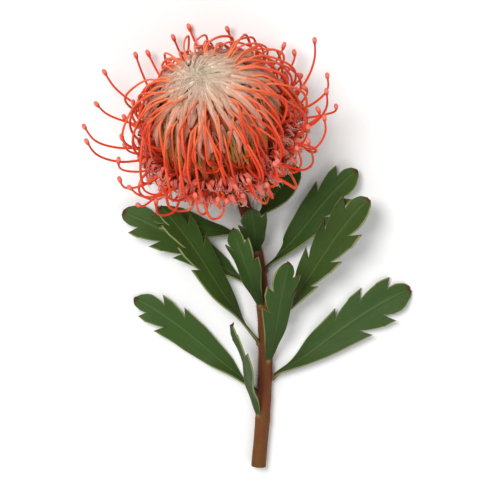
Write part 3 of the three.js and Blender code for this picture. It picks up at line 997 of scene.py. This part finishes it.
def tooth_change(teeth, width, reach, u, half):
    """What the teeth do to one point of the blade: the new share of the half width at the edge, how
    far the point moves towards the tip, and how dark it is as the hard point of a tooth."""
    edge, forward, hard = 1.0, 0.0, 0.0
    for side, foot in teeth:
        past = reach - foot
        if u * side <= 0 or past > width * NOTCH_LENGTH:
            continue
        if past > 0:
            edge = min(edge, 0.5 + 0.5 * (past / (width * NOTCH_LENGTH)) ** 0.8)
        elif past > -width * TOOTH_LENGTH:
            near = 1 + past / (width * TOOTH_LENGTH)
            lean = max(0.0, (abs(u) - 0.45) / 0.55)
            edge = max(edge, 1 + 0.10 * near**2)
            forward = max(forward, half * 0.52 * near**1.5 * lean**1.5)
            hard = max(hard, smooth((near - 0.9) * 8) * smooth((abs(u) - 0.86) * 9))
    return edge, forward, hard


def blade_turn(path, across, turn, here):
    """Tangent, side and back directions of a blade that twists away from its foot."""
    tangent = path.tangent(here)
    side = (across - tangent * across.dot(tangent)).normalized()
    side = Matrix.Rotation(turn * smooth(here / 0.45), 3, tangent) @ side
    return tangent, side, side.cross(tangent)


def leaf_mesh(name, leaf, number, thickness):
    """A toothed blade, folded a little along its midrib and waved at its edge."""
    path, across = leaf_frame(leaf)
    length = path.length
    teeth = tooth_places(leaf, length)
    rows = leaf_rows(length, teeth)
    shape = bmesh.new()
    blade = shape.loops.layers.uv.new("blade")
    veins = shape.loops.layers.uv.new("veins")
    callus = shape.verts.layers.float.new("callus")
    tint = shape.verts.layers.float.new("tint")
    bmesh.ops.create_grid(shape, x_segments=BLADE_COLUMNS, y_segments=len(rows) - 1, size=0.5)
    shares = {}
    for vert in shape.verts:
        u = vert.co.x * 2
        reach = rows[round((vert.co.y + 0.5) * (len(rows) - 1))]
        share = reach / length
        half = leaf.width / 2 * along(BLADE_OUTLINE, share)
        edge, forward, hard = tooth_change(teeth, leaf.width, reach, u, half)
        size = abs(u)
        if size >= UNTOOTHED:
            size = UNTOOTHED + (size - UNTOOTHED) * (edge - UNTOOTHED) / (1 - UNTOOTHED)
        vert[callus] = max(hard, smooth((share - 0.975) / 0.02))
        vert[tint] = tint_of(number, 60)
        shares[vert] = (u / 2 + 0.5, share, math.copysign(size, u) / 2 + 0.5)

        here = min((reach + forward) / length, 1)
        tangent, side, out = blade_turn(path, across, math.radians(leaf.turn), here)
        past_tip = tangent * max(reach + forward - length, 0)
        x = math.copysign(size * half, u)
        wave = 0.8 * math.sin(share * 13 + number * 2) * size**2 * smooth(share * 3)
        clasp = smooth(1 - share / 0.14) * x * x * 0.13
        fold = -abs(x) * 0.12 - 0.35 * smooth(1 - size * 9) - clasp
        vert.co = lifted(path.at(here) + past_tip + side * x + out * (fold + wave), 0.75) * MM
    for face in shape.faces:
        for loop in face.loops:
            u, share, size = shares[loop.vert]
            loop[blade].uv = (u, share)
            loop[veins].uv = (size, share)
    bmesh.ops.recalc_face_normals(shape, faces=shape.faces)
    bmesh.ops.solidify(shape, geom=shape.faces[:], thickness=thickness)
    keep_clear(shape)
    return mesh_of(name, shape)


class PROTEA_OT_leaves(bpy.types.Operator):
    """Adds the twelve toothed leaves"""

    bl_idname = "protea.leaves"
    bl_label = "Leaves"
    bl_options = {"REGISTER", "UNDO"}

    def execute(self, context):
        sizes = context.scene.protea_sizes
        for i, leaf in enumerate(LEAVES):
            node = f"leaf_{i + 1:02d}"
            mesh = leaf_mesh(f"{node} blade", leaf, i, sizes.blade_thickness)
            piece(f"{node}_blade", mesh, leaf_finish(), "leaf", node)
        return {"FINISHED"}


CORE_OUTLINE = [
    (0, 5), (4.6, 5.4), (12, 13), (21, 22.5), (26, 28.5), (25, 40), (22.6, 50), (22.4, DOME_RIM_HEIGHT),
    (20, dome_height(20) - 2.4), (12, dome_height(12) - 2.4), (0, DOME_TOP_HEIGHT - 2.6),
]


class PROTEA_OT_core(bpy.types.Operator):
    """Adds the hidden mass of packed floret bases inside the head"""

    bl_idname = "protea.core"
    bl_label = "Core"
    bl_options = {"REGISTER", "UNDO"}

    def execute(self, context):
        mesh = turned_mesh("floret core", CORE_OUTLINE, 64)
        piece("floret_core", mesh, core_finish(), "perianth", "styles", "woolly_dome")
        return {"FINISHED"}


BRACT_ROWS = 5
BRACTS_A_ROW = 12
HAIRS_A_BRACT = 16
CUP_RADII = [(-3.4, 3.1), (0, 5), (4.2, 7.7), (7.4, 10.1), (11, 13.7)]  # (height, radius)
CUP_LINING = [(0, -3.3), (3.0, -3.3), (4.9, 0), (7.5, 4.2), (9.6, 7), (6, 6), (0, 5)]  # (radius, height)


def bract_path(row, angle, key):
    """The middle line of a bract, which stands further off the cup towards its tip."""
    foot = -3.0 + row * 1.65
    reach = 5.2 + 0.7 * draw(key, 62)
    stations = []
    for step in range(5):
        t = step / 4
        height = foot + reach * t
        stand = 0.25 + 1.4 * t**2 + 0.4 * draw(key, 63) * t
        stations.append(on_head(along(CUP_RADII, height) + stand, height, angle))
    return Path(centripetal(stations, 3))


def bract_width(row, share):
    """Width of a bract of this row, at a share of its length."""
    taper = math.sin(math.pi * min(1, 0.25 + share * 0.75)) ** 0.75
    return (3.4 - 0.05 * row) * max(0.06, taper)


def bract_hair(path, row, angle, share, key):
    """A curly hair that leaves a bract at a share of its length."""
    across = round_head(angle)
    out = (on_head(1, 0, angle) - on_head(0, 0, angle)).normalized()
    up = HEAD_AXIS * (0.7 + 0.6 * draw(key, 67))
    curl = across * 1.3 * draw(key, 66)
    root = path.at(share) + across * (bract_width(row, share) / 2 * draw(key, 65))
    route = [
        root,
        root + out * 0.5 + up * 0.5,
        root + out * 1.0 + up + curl * 0.6,
        root + out * 0.8 + up * 1.6 + curl,
    ]
    return route, [0.085, 0.08, 0.065, 0.03], tint_of(key, 68)


class PROTEA_OT_involucre(bpy.types.Operator):
    """Adds the cup of overlapping downy bracts and its dark curly hairs"""

    bl_idname = "protea.involucre"
    bl_label = "Involucre"
    bl_options = {"REGISTER", "UNDO"}

    def execute(self, context):
        shape = bmesh.new()
        hairs = []
        for key in range(BRACT_ROWS * BRACTS_A_ROW):
            row, place = divmod(key, BRACTS_A_ROW)
            angle = (place + row * 0.5) / BRACTS_A_ROW * math.tau + 0.06 * draw(key, 61)
            path = bract_path(row, angle, key)
            width_at = partial(bract_width, row)
            add_ribbon(shape, path, round_head(angle), width_at, 0.5, 6, 9, tint_of(key, 64))
            for i in range(HAIRS_A_BRACT):
                share = 0.45 + 0.55 * (i / (HAIRS_A_BRACT - 1))
                hairs.append(bract_hair(path, row, angle, share, key * HAIRS_A_BRACT + i))
        piece("bracts", ribbon_mesh("bracts", shape, 0.3), bract_finish(), "bract", "involucre")
        piece("bract_cup", turned_mesh("bract cup", CUP_LINING, 40), cup_finish(), "bract", "involucre")
        curly = strand_mesh("bract hairs", hairs, 4)
        piece("bract_hairs", curly, bract_hair_finish(), "bract", "involucre")
        return {"FINISHED"}


TUBE_ROWS = 2
CONE_LINING = [(0, 4.5), (5, 5.4), (12, 12), (20.6, 19.6), (29.6, 28), (26, 29), (0, 29)]


def tube_path(angle, row, i):
    """A perianth tube, from the involucre out to the rim. The second row lies inside the first."""
    top = 1.8 * draw(i, 72 + row) - row * 0.5
    inward = row + 0.35 * draw(i, 76 + row)
    sway = 0.9 * draw(i, 78 + row)
    return head_path(angle, [
        (4.6, 3.4 + row),
        (9.4, 7.9 + row),
        (20 - inward, 17.6 + inward, sway),
        (29.6 - inward, 26 + inward, sway * 1.4),
        (RIM_RADIUS - 0.6 - inward, 29.8 + top + inward, sway * 1.2),
    ], steps=4, clear=0.9)


class PROTEA_OT_perianth_tubes(bpy.types.Operator):
    """Adds the two rows of perianth tubes that make the cone"""

    bl_idname = "protea.perianth_tubes"
    bl_label = "Perianth tubes"
    bl_options = {"REGISTER", "UNDO"}

    def execute(self, context):
        count = context.scene.protea_sizes.tubes_a_row
        strands = []
        for row in range(TUBE_ROWS):
            for i in range(count):
                angle = (i + row * 0.5) / count * math.tau + 0.02 * draw(i, 70 + row)
                path = tube_path(angle, row, i)
                thick = 1 + 0.16 * draw(i, 68 + row)
                radii = radii_of(path, lambda share: thick * blend(0.38, 1.0, share**0.75))
                strands.append((path.points, radii, tint_of(i, 74 + row)))
        tubes = strand_mesh("perianth tubes", strands, 8)
        piece("perianth_tubes", tubes, tube_finish(), "perianth", "perianths")
        lining = turned_mesh("tube lining", CONE_LINING, 48)
        piece("tube_lining", lining, core_finish(), "perianth", "perianths")
        return {"FINISHED"}


ARMS = 3  # strips that show of each split perianth
RIM_CURLS = 30
INNER_CURLS = 46  # curls above those of the rim, which are shorter
CURL_WOOL_KEY = 900
CLAW_WOOL_KEY = 2000
FIRST_CLAW = 30  # the florets before this one lie under the wool


def curl_path(angle, tier, floret, arm):
    """A strip that stands up from the rim and curls back."""
    key = floret * 4 + arm
    out = blend(33, 29.8, tier) + draw(floret, 84)
    foot = blend(28, 39, tier) + 1.8 * draw(floret, 85)
    fan = (arm - 1) * 2.1 + 1.3 * draw(key, 80)
    lift = 1.9 * draw(key, 81)
    curl = (4.3 + 1.5 * draw(key, 82)) * blend(1, 0.8, tier)
    roll = 1.7 + 0.6 * draw(key, 86)
    drift = 2.2 * draw(key, 89)
    return head_path(angle, [
        (out - 3.0, foot - 1.5, fan * 0.3),
        (out + 0.2, foot + 3.0 + lift, fan * 0.6),
        (out + curl * 0.7, foot + 4.6 + lift, fan * 0.9),
        (out + curl + 0.6, foot + 2.2 + lift, fan * 1.15 + drift * 0.4),
        (out + curl - roll * 0.4, foot - 0.2 + lift, fan * 1.3 + drift * 0.9),
        (out + curl - roll * 1.5, foot + 0.9 + lift, fan * 1.3 + drift * 1.2),
    ], steps=4, clear=0.7)


def curl_width(widest, share):
    """Width of a curled strip, which is narrow at its foot and tapers at its tip."""
    taper = 1 - 0.55 * smooth((share - 0.72) * 4)
    return widest * (0.55 + 0.45 * smooth(share * 4)) * taper


class PROTEA_OT_curled_perianths(bpy.types.Operator):
    """Adds the split red perianths that curl back over the rim, with their wool"""

    bl_idname = "protea.curled_perianths"
    bl_label = "Curled perianths"
    bl_options = {"REGISTER", "UNDO"}

    def execute(self, context):
        shape = bmesh.new()
        hairs = []
        for floret in range(RIM_CURLS + INNER_CURLS):
            angle = floret * GOLDEN_ANGLE + 0.3
            inner = floret >= RIM_CURLS
            tier = 0.25 + 0.75 * (floret - RIM_CURLS) / INNER_CURLS if inner else 0.0
            for arm in range(ARMS):
                key = floret * 4 + arm
                path = curl_path(angle, tier, floret, arm)
                side = Matrix.Rotation(0.8 * draw(key, 87), 3, path.tangent(0.5)) @ round_head(angle)
                width_at = partial(curl_width, 1.95 + 0.5 * draw(key, 88))
                add_ribbon(shape, path, side, width_at, 0.55, 4, 13, tint_of(key, 83))
                tuft = 9 if inner else 13
                hairs += wool_on(
                    path, lambda share: 0.45, 0.13, tuft, CURL_WOOL_KEY + key,
                    length=1.8, spread=0.8, start=0.66, end=1.0,
                )
        curls = ribbon_mesh("curled perianths", shape, 0.28)
        piece("curled_perianths", curls, curl_finish(), "perianth", "perianths")
        wool = strand_mesh("perianth wool", hairs, 4)
        piece("perianth_wool", wool, rim_wool_finish(), "wool", "perianths")
        return {"FINISHED"}


def claw_path(angle, age, arm, key):
    """A strip of a perianth that is still closed at its tip, from the rim up to the dome."""
    fan = (arm - 1) * 1.7 + 1.2 * draw(key, 90)
    end = blend(20, 26, age)
    return head_path(angle, [
        (26.4, 28, fan * 0.8),
        (27.4 + 1.3 * draw(key, 91), 37, fan * 1.6),
        (27.0 + 1.4 * draw(key, 92), 47, fan * 1.2 + 1.2 * draw(key, 94)),
        (blend(24.6, 25.8, age), 54, fan * 0.9),
        (end, dome_height(end) - 0.8, fan * 0.4),
    ], steps=4)


class PROTEA_OT_claws(bpy.types.Operator):
    """Adds the strips of the closed perianths, from the rim up to the dome"""

    bl_idname = "protea.claws"
    bl_label = "Perianth claws"
    bl_options = {"REGISTER", "UNDO"}

    def execute(self, context):
        strands, hairs = [], []
        for floret in range(FIRST_CLAW, CLOSED_FLORETS):
            age = (floret - FIRST_CLAW) / (CLOSED_FLORETS - FIRST_CLAW)
            for arm in range(ARMS):
                key = floret * 4 + arm
                path = claw_path(floret * GOLDEN_ANGLE, age, arm, key)
                radii = [0.66 + 0.16 * math.sin(p * 0.9 + key) for p in range(len(path.points))]
                strands.append((path.points, radii, tint_of(key, 93)))
                hairs += wool_on(
                    path, lambda share: 0.6, 0.11, 12, CLAW_WOOL_KEY + key,
                    length=2.4, spread=0.4, start=0.3, end=0.98,
                )
        claws = strand_mesh("perianth claws", strands, 6)
        piece("perianth_claws", claws, claw_finish(), "perianth", "styles")
        wool = strand_mesh("claw wool", hairs, 4)
        piece("claw_wool", wool, rim_wool_finish(), "wool", "styles")
        return {"FINISHED"}


FIRST_LOOP = 14  # the florets before this one, in the middle of the dome, show no style
RIM_LOOPS = 11
TUFTS = 26  # tufts of wool round the dome, where the tips of the looped styles are caught

# Further styles between those of the florets. Each group starts at a place of its own in the
# golden-angle order, and at a key of its own in the draws.
OUTER_LOOPS = 21
OUTER_PLACE = 200
OUTER_KEY = 300
CLOSE_LOOPS = 28
CLOSE_PLACE = 400
CLOSE_KEY = 500
SHORT_STYLES = 23
SHORT_PLACE = 140

FREE_REACH = 57  # about how far from the axis the longest free styles end
STYLE_FOOT = 1.05  # thickness of a style at its foot and at its tip, in style radii
STYLE_TIP = 0.72
KNOB_LENGTH = 4.6
KNOB_OUTLINE = [(0, 0.0), (0.15, 0.5), (0.35, 0.82), (0.6, 1.0), (0.8, 0.95), (0.93, 0.68), (1, 0.3)]


def looped_path(angle, age, key, bow=1):
    """A style that bows out from the rim and comes back in to the nearest tuft of the dome."""
    wide = (blend(29.5, 40, age**0.7) + 3.8 * draw(key, 1)) * bow
    high = blend(61, 38, age) + 6.5 * draw(key, 2)
    swing = 9.5 * draw(key, 3)
    aside = 3.5 * draw(key, 17)
    end = blend(14, 25, age**0.8) - 1.5 - 3.5 * draw(key, 18)
    foot, base = blend(21, 26.5, age), blend(50, 28.5, age)
    top = dome_height(end)
    tuft = round(angle / math.tau * TUFTS) / TUFTS * math.tau + 0.05 * draw(key, 19)
    caught = (tuft - angle) * end
    return head_path(angle, [
        (foot, base, aside),
        (blend(foot, wide, 0.55), blend(base, high, 0.1), blend(aside, swing, 0.3)),
        (blend(foot, wide, 0.93), blend(base, high, 0.5), blend(aside, swing, 0.75)),
        (wide, high + 2, swing),
        (blend(end, wide, 0.74), blend(top, high, 0.46) + blend(3, 1, age), blend(swing, caught, 0.4)),
        (blend(end, wide, 0.36), blend(top, high, 0.12) + blend(2.6, 1.6, age), blend(swing, caught, 0.85)),
        (end, top + 0.1 + 0.8 * draw(key, 29), caught),
    ], steps=5)


def rim_path(i):
    """A style that bows down under the rim and comes back in to it."""
    angle = (CLOSED_FLORETS + FREE_STYLES + i) * GOLDEN_ANGLE
    wide = 42 + 2.5 * draw(i, 7)
    swing = 7 + 2.5 * draw(i, 8)
    return head_path(angle, [
        (25, 27),
        (32, 32.5),
        (wide - 3, 31, swing * 0.4),
        (wide, 26, swing * 0.8),
        (wide - 2.4, 21.8, swing * 1.1),
        (wide - 5.6, 20.6, swing * 1.4),
        (RIM_RADIUS + 0.9, 22.6, swing * 1.6),
        (RIM_RADIUS - 0.4, 25.6, swing * 1.65),
        (RIM_RADIUS - 1.5, 28.5, swing * 1.6),
    ])


def free_path(i):
    """A style that has sprung free and reaches out beyond the rim."""
    angle = (CLOSED_FLORETS + i) * GOLDEN_ANGLE
    reach = FREE_REACH - 4 + 5 * draw(i, 4)
    high = 52 + 11 * draw(i, 5)
    swing = 6 * draw(i, 6)
    hook = tint_of(i, 28)
    return head_path(angle, [
        (25, 26),
        (31.5, 32.5),
        (blend(31, reach, blend(0.45, 0.64, hook)), blend(33, high, blend(0.32, 0.10, hook)), swing * 0.3),
        (blend(31, reach, blend(0.76, 0.98, hook)), blend(33, high, blend(0.66, 0.44, hook)), swing * 0.75),
        (reach, high, swing),
    ], steps=7)


def short_free_path(i):
    """A style that has only just sprung free: every other one dips before its tip turns up."""
    angle = (SHORT_PLACE + i) * GOLDEN_ANGLE
    dip = 8 * (i % 2)
    reach = 45 + 3 * draw(i, 24)
    high = 44 + 7 * draw(i, 25) - 0.5 * dip
    swing = 7 * draw(i, 26)
    return head_path(angle, [
        (25, 27),
        (31, 32),
        (blend(31, reach, 0.6), blend(32, high, 0.2) - dip, swing * 0.3),
        (reach, blend(32, high, 0.55) - 0.6 * dip, swing * 0.75),
        (reach - 1 + 2.5 * draw(i, 27), high, swing),
    ], steps=7)


class PROTEA_OT_looped_styles(bpy.types.Operator):
    """Adds the styles that bow out with their tips still caught"""

    bl_idname = "protea.looped_styles"
    bl_label = "Looped styles"
    bl_options = {"REGISTER", "UNDO"}

    def execute(self, context):
        radius = context.scene.protea_sizes.style_radius / MM
        count = CLOSED_FLORETS - FIRST_LOOP
        paths = []
        for i in range(count):
            paths.append(looped_path((FIRST_LOOP + i) * GOLDEN_ANGLE, i / count, FIRST_LOOP + i))
        for i in range(OUTER_LOOPS):
            age = 0.3 + 0.7 * i / OUTER_LOOPS
            paths.append(looped_path((OUTER_PLACE + i) * GOLDEN_ANGLE, age, OUTER_KEY + i))
        paths += [rim_path(i) for i in range(RIM_LOOPS)]
        shades = [tint_of(i, 100) for i in range(len(paths))]
        for i in range(CLOSE_LOOPS):
            age = 0.45 + 0.55 * i / CLOSE_LOOPS
            bow = 0.84 + 0.05 * draw(i, 20)
            paths.append(looped_path((CLOSE_PLACE + i) * GOLDEN_ANGLE, age, CLOSE_KEY + i, bow))
            # The close loops lie behind the others, and their low tint, near the deep red, is painted
            # shade.
            shades.append(0.2 + 0.2 * draw(i, 21))
        strands = []
        for i, (path, shade) in enumerate(zip(paths, shades)):
            thick = radius * (1 + 0.12 * draw(i, 102))
            radii = radii_of(path, lambda share: thick * blend(STYLE_FOOT, STYLE_TIP, share))
            strands.append((path.points, radii, shade))
        piece("looped_styles", strand_mesh("looped styles", strands, 8), style_finish(), "style", "styles")
        return {"FINISHED"}


def knobbed_style(path, radius, knob, tint):
    """A free style as a strand, with more rings in the knob at its tip than along its shaft."""
    neck = 1 - KNOB_LENGTH / path.length
    shares = [neck * ring / 22 for ring in range(22)]
    shares += [blend(neck, 1, ring / 13) for ring in range(14)]
    radii = []
    for share in shares:
        bulge = max(0.0, (share - neck) / (1 - neck))
        shaft = radius * blend(STYLE_FOOT, STYLE_TIP, share) * (1 - smooth((bulge - 0.8) * 5))
        radii.append(max(shaft, knob * 0.92 * along(KNOB_OUTLINE, bulge), 0.12))
    return [path.at(share) for share in shares], radii, tint


class PROTEA_OT_free_styles(bpy.types.Operator):
    """Adds the styles that stand free, with a knob at the tip"""

    bl_idname = "protea.free_styles"
    bl_label = "Free styles"
    bl_options = {"REGISTER", "UNDO"}

    def execute(self, context):
        sizes = context.scene.protea_sizes
        radius, knob = sizes.style_radius / MM, sizes.knob_radius / MM
        paths = [free_path(i) for i in range(FREE_STYLES)]
        paths += [short_free_path(i) for i in range(SHORT_STYLES)]
        strands = [knobbed_style(path, radius, knob, tint_of(i, 101)) for i, path in enumerate(paths)]
        piece("free_styles", strand_mesh("free styles", strands, 8), free_style_finish(), "style", "styles")
        return {"FINISHED"}


EXTRA_TIPS = 22  # woolly tips besides one for each closed floret
FUZZ_KEY = 500
WHORL_SHIFT = 3.2  # how far the middle of the wool lies off the head's axis
WHORL_WAY = math.radians(-118)


def on_dome(radius, lift, angle):
    """A point above the dome, round the off-centre whorl of its wool."""
    near = max(0.0, 1 - radius / DOME_RADIUS)
    x = radius * math.cos(angle) + WHORL_SHIFT * near * math.cos(WHORL_WAY)
    y = radius * math.sin(angle) + WHORL_SHIFT * near * math.sin(WHORL_WAY)
    return HEAD_FRAME @ Vector((x, y, dome_height(math.hypot(x, y)) + lift))


def tip_path(i, count):
    """A woolly tip, laid towards the whorl. The outermost ones hang down over the dome's edge."""
    angle = i * GOLDEN_ANGLE + 0.04 * draw(i, 112)
    outer = (DOME_RADIUS + 0.6) * math.sqrt((i + 1.5) / count)
    inner = max(0.8, outer - 12.0 + 2.5 * draw(i, 11))
    lean = 0.16 * draw(i, 12) + 0.10
    rise = 0.5 * draw(i, 113)
    edge = smooth((outer - 19.5) / 5)
    fall = 8.2 + 4.6 * draw(i, 114)
    bend = 1.5 * draw(i, 116) / max(outer, 8)
    stations = [
        on_dome(blend(outer, inner, 0.55), 0.5 + rise, angle + lean * 0.45 - bend),
        on_dome(inner, 1.2 + rise, angle + lean * min(1.6, 9 / max(inner, 4))),
    ]
    if edge > 0.3:
        foot = [
            on_head(28.4 + 1.6 * edge, DOME_RIM_HEIGHT - fall * edge, angle - lean * 0.1 - bend * 0.4),
            on_head(28.8 + 0.5 * draw(i, 115), DOME_RIM_HEIGHT - fall * 0.45 * edge, angle + bend * 0.5),
            on_head(blend(25.2, 26.8, edge), DOME_RIM_HEIGHT + 1.4, angle + lean * 0.1),
        ]
    else:
        foot = [
            on_dome(outer + 0.6, -1.4, angle),
            on_dome(blend(outer, inner, 0.12), -0.2 + rise * 0.5, angle + lean * 0.1 + bend * 0.6),
        ]
    return Path(centripetal(foot + stations, 4))


def tip_girth(thick, share):
    """Radius of a woolly tip, which is plump in the middle."""
    return thick * (0.26 + 0.78 * math.sin(math.pi * min(1, 0.05 + share * 0.87)) ** 0.6)


class PROTEA_OT_woolly_dome(bpy.types.Operator):
    """Adds the woolly tips of the closed florets, laid towards the middle of the dome"""

    bl_idname = "protea.woolly_dome"
    bl_label = "Woolly dome"
    bl_options = {"REGISTER", "UNDO"}

    def execute(self, context):
        sizes = context.scene.protea_sizes
        tips, hairs = [], []
        count = CLOSED_FLORETS + EXTRA_TIPS
        for i in range(count):
            path = tip_path(i, count)
            girth = partial(tip_girth, 1.12 + 0.2 * draw(i, 117))
            shade = tint_of(i, 111)
            tips.append((path.points, radii_of(path, girth), shade))
            laid = wool_on(
                path, girth, sizes.hair_radius / MM, sizes.hairs_a_tip, i,
                length=5.6, spread=0.10, start=0.02, end=0.86,
            )
            fuzz = wool_on(path, girth, 0.08, 10, FUZZ_KEY + i, length=2.4, spread=0.6, start=0.1, end=0.95)
            for points, radii, tint in laid + fuzz:
                hairs.append((points, radii, 0.5 * tint + 0.5 * shade))
        wool = dome_wool_finish()
        piece("woolly_tips", strand_mesh("woolly tips", tips, 8), wool, "wool", "woolly_dome")
        piece("dome_wool", strand_mesh("dome wool", hairs, 4), wool, "wool", "woolly_dome")
        return {"FINISHED"}


# ---- stage ---------------------------------------------------------------------------------------

CAMERA_TILT = math.radians(11)  # how far the camera's view leans from straight down
CAMERA_DISTANCE = 1.3
SENSOR_WIDTH = 36
VIEW_WIDTH = 0.226
VIEW_CENTRE = Vector((-0.001, 0.002, 0.02))
FLOOR_SIZE = 4
SKY_STRENGTH = 0.46

# name, place, diameter and energy of each light
LIGHTS = [
    ("key light", (-0.35, 0.42, 1.0), 0.5, 9.3),
    ("fill light", (0.45, -0.6, 0.9), 0.8, 2.6),
]


def soft_light(name, place, size, energy):
    """A round light that faces the middle of the frame."""
    data = bpy.data.lights.new(name, "AREA")
    data.shape = "DISK"
    data.size = size
    data.energy = energy
    light = bpy.data.objects.new(name, data)
    light.location = place
    light.rotation_euler = (-Vector(place)).to_track_quat("-Z", "Y").to_euler()
    bpy.context.scene.collection.objects.link(light)


class PROTEA_OT_stage(bpy.types.Operator):
    """Adds the pale floor, the soft studio light and the camera that looks down"""

    bl_idname = "protea.stage"
    bl_label = "Stage"
    bl_options = {"REGISTER", "UNDO"}

    def execute(self, context):
        scene = context.scene
        shape = bmesh.new()
        bmesh.ops.create_grid(shape, x_segments=1, y_segments=1, size=FLOOR_SIZE)
        mesh = bpy.data.meshes.new("floor")
        shape.to_mesh(mesh)
        shape.free()
        mesh.materials.append(floor_finish())
        floor = bpy.data.objects.new("floor", mesh)
        scene.collection.objects.link(floor)
        floor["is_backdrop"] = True

        world = bpy.data.worlds.new("studio")
        world.use_nodes = True
        sky = world.node_tree.nodes["Background"]
        sky.inputs["Color"].default_value = (1, 1, 1, 1)
        sky.inputs["Strength"].default_value = SKY_STRENGTH
        scene.world = world
        for light in LIGHTS:
            soft_light(*light)
        scene.view_settings.view_transform = "Standard"

        data = bpy.data.cameras.new("camera")
        data.sensor_width = SENSOR_WIDTH
        data.lens = SENSOR_WIDTH * CAMERA_DISTANCE / VIEW_WIDTH
        camera = bpy.data.objects.new("camera", data)
        back = Vector((0, math.sin(CAMERA_TILT), math.cos(CAMERA_TILT)))
        camera.location = VIEW_CENTRE + back * CAMERA_DISTANCE
        camera.rotation_euler = (-CAMERA_TILT, 0, 0)
        scene.collection.objects.link(camera)
        scene.camera = camera
        return {"FINISHED"}


class PROTEA_PT_panel(bpy.types.Panel):
    """Lists the protea's pieces in the sidebar"""

    bl_idname = "PROTEA_PT_panel"
    bl_label = "Pincushion Protea"
    bl_space_type = "VIEW_3D"
    bl_region_type = "UI"
    bl_category = "Protea"

    def draw(self, context):
        for operator in OPERATORS:
            self.layout.operator(operator.bl_idname)


OPERATORS = (
    PROTEA_OT_stem,
    PROTEA_OT_leaves,
    PROTEA_OT_core,
    PROTEA_OT_involucre,
    PROTEA_OT_perianth_tubes,
    PROTEA_OT_curled_perianths,
    PROTEA_OT_claws,
    PROTEA_OT_looped_styles,
    PROTEA_OT_free_styles,
    PROTEA_OT_woolly_dome,
    PROTEA_OT_stage,
)
CLASSES = (ProteaSizes, ProteaColours, *OPERATORS, PROTEA_PT_panel)


def register():
    for made in CLASSES:
        bpy.utils.register_class(made)
    bpy.types.Scene.protea_sizes = PointerProperty(type=ProteaSizes)
    bpy.types.Scene.protea_colours = PointerProperty(type=ProteaColours)


def unregister():
    del bpy.types.Scene.protea_colours
    del bpy.types.Scene.protea_sizes
    for made in reversed(CLASSES):
        bpy.utils.unregister_class(made)


def main():
    register()
    for operator in OPERATORS:
        group, name = operator.bl_idname.split(".")
        getattr(getattr(bpy.ops, group), name)()
    boxes = {"cad": CAD_BOX, "visual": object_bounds()}
    boxes = {name: [list(corner) for corner in box] for name, box in boxes.items()}


if __name__ == "__main__":
    main()
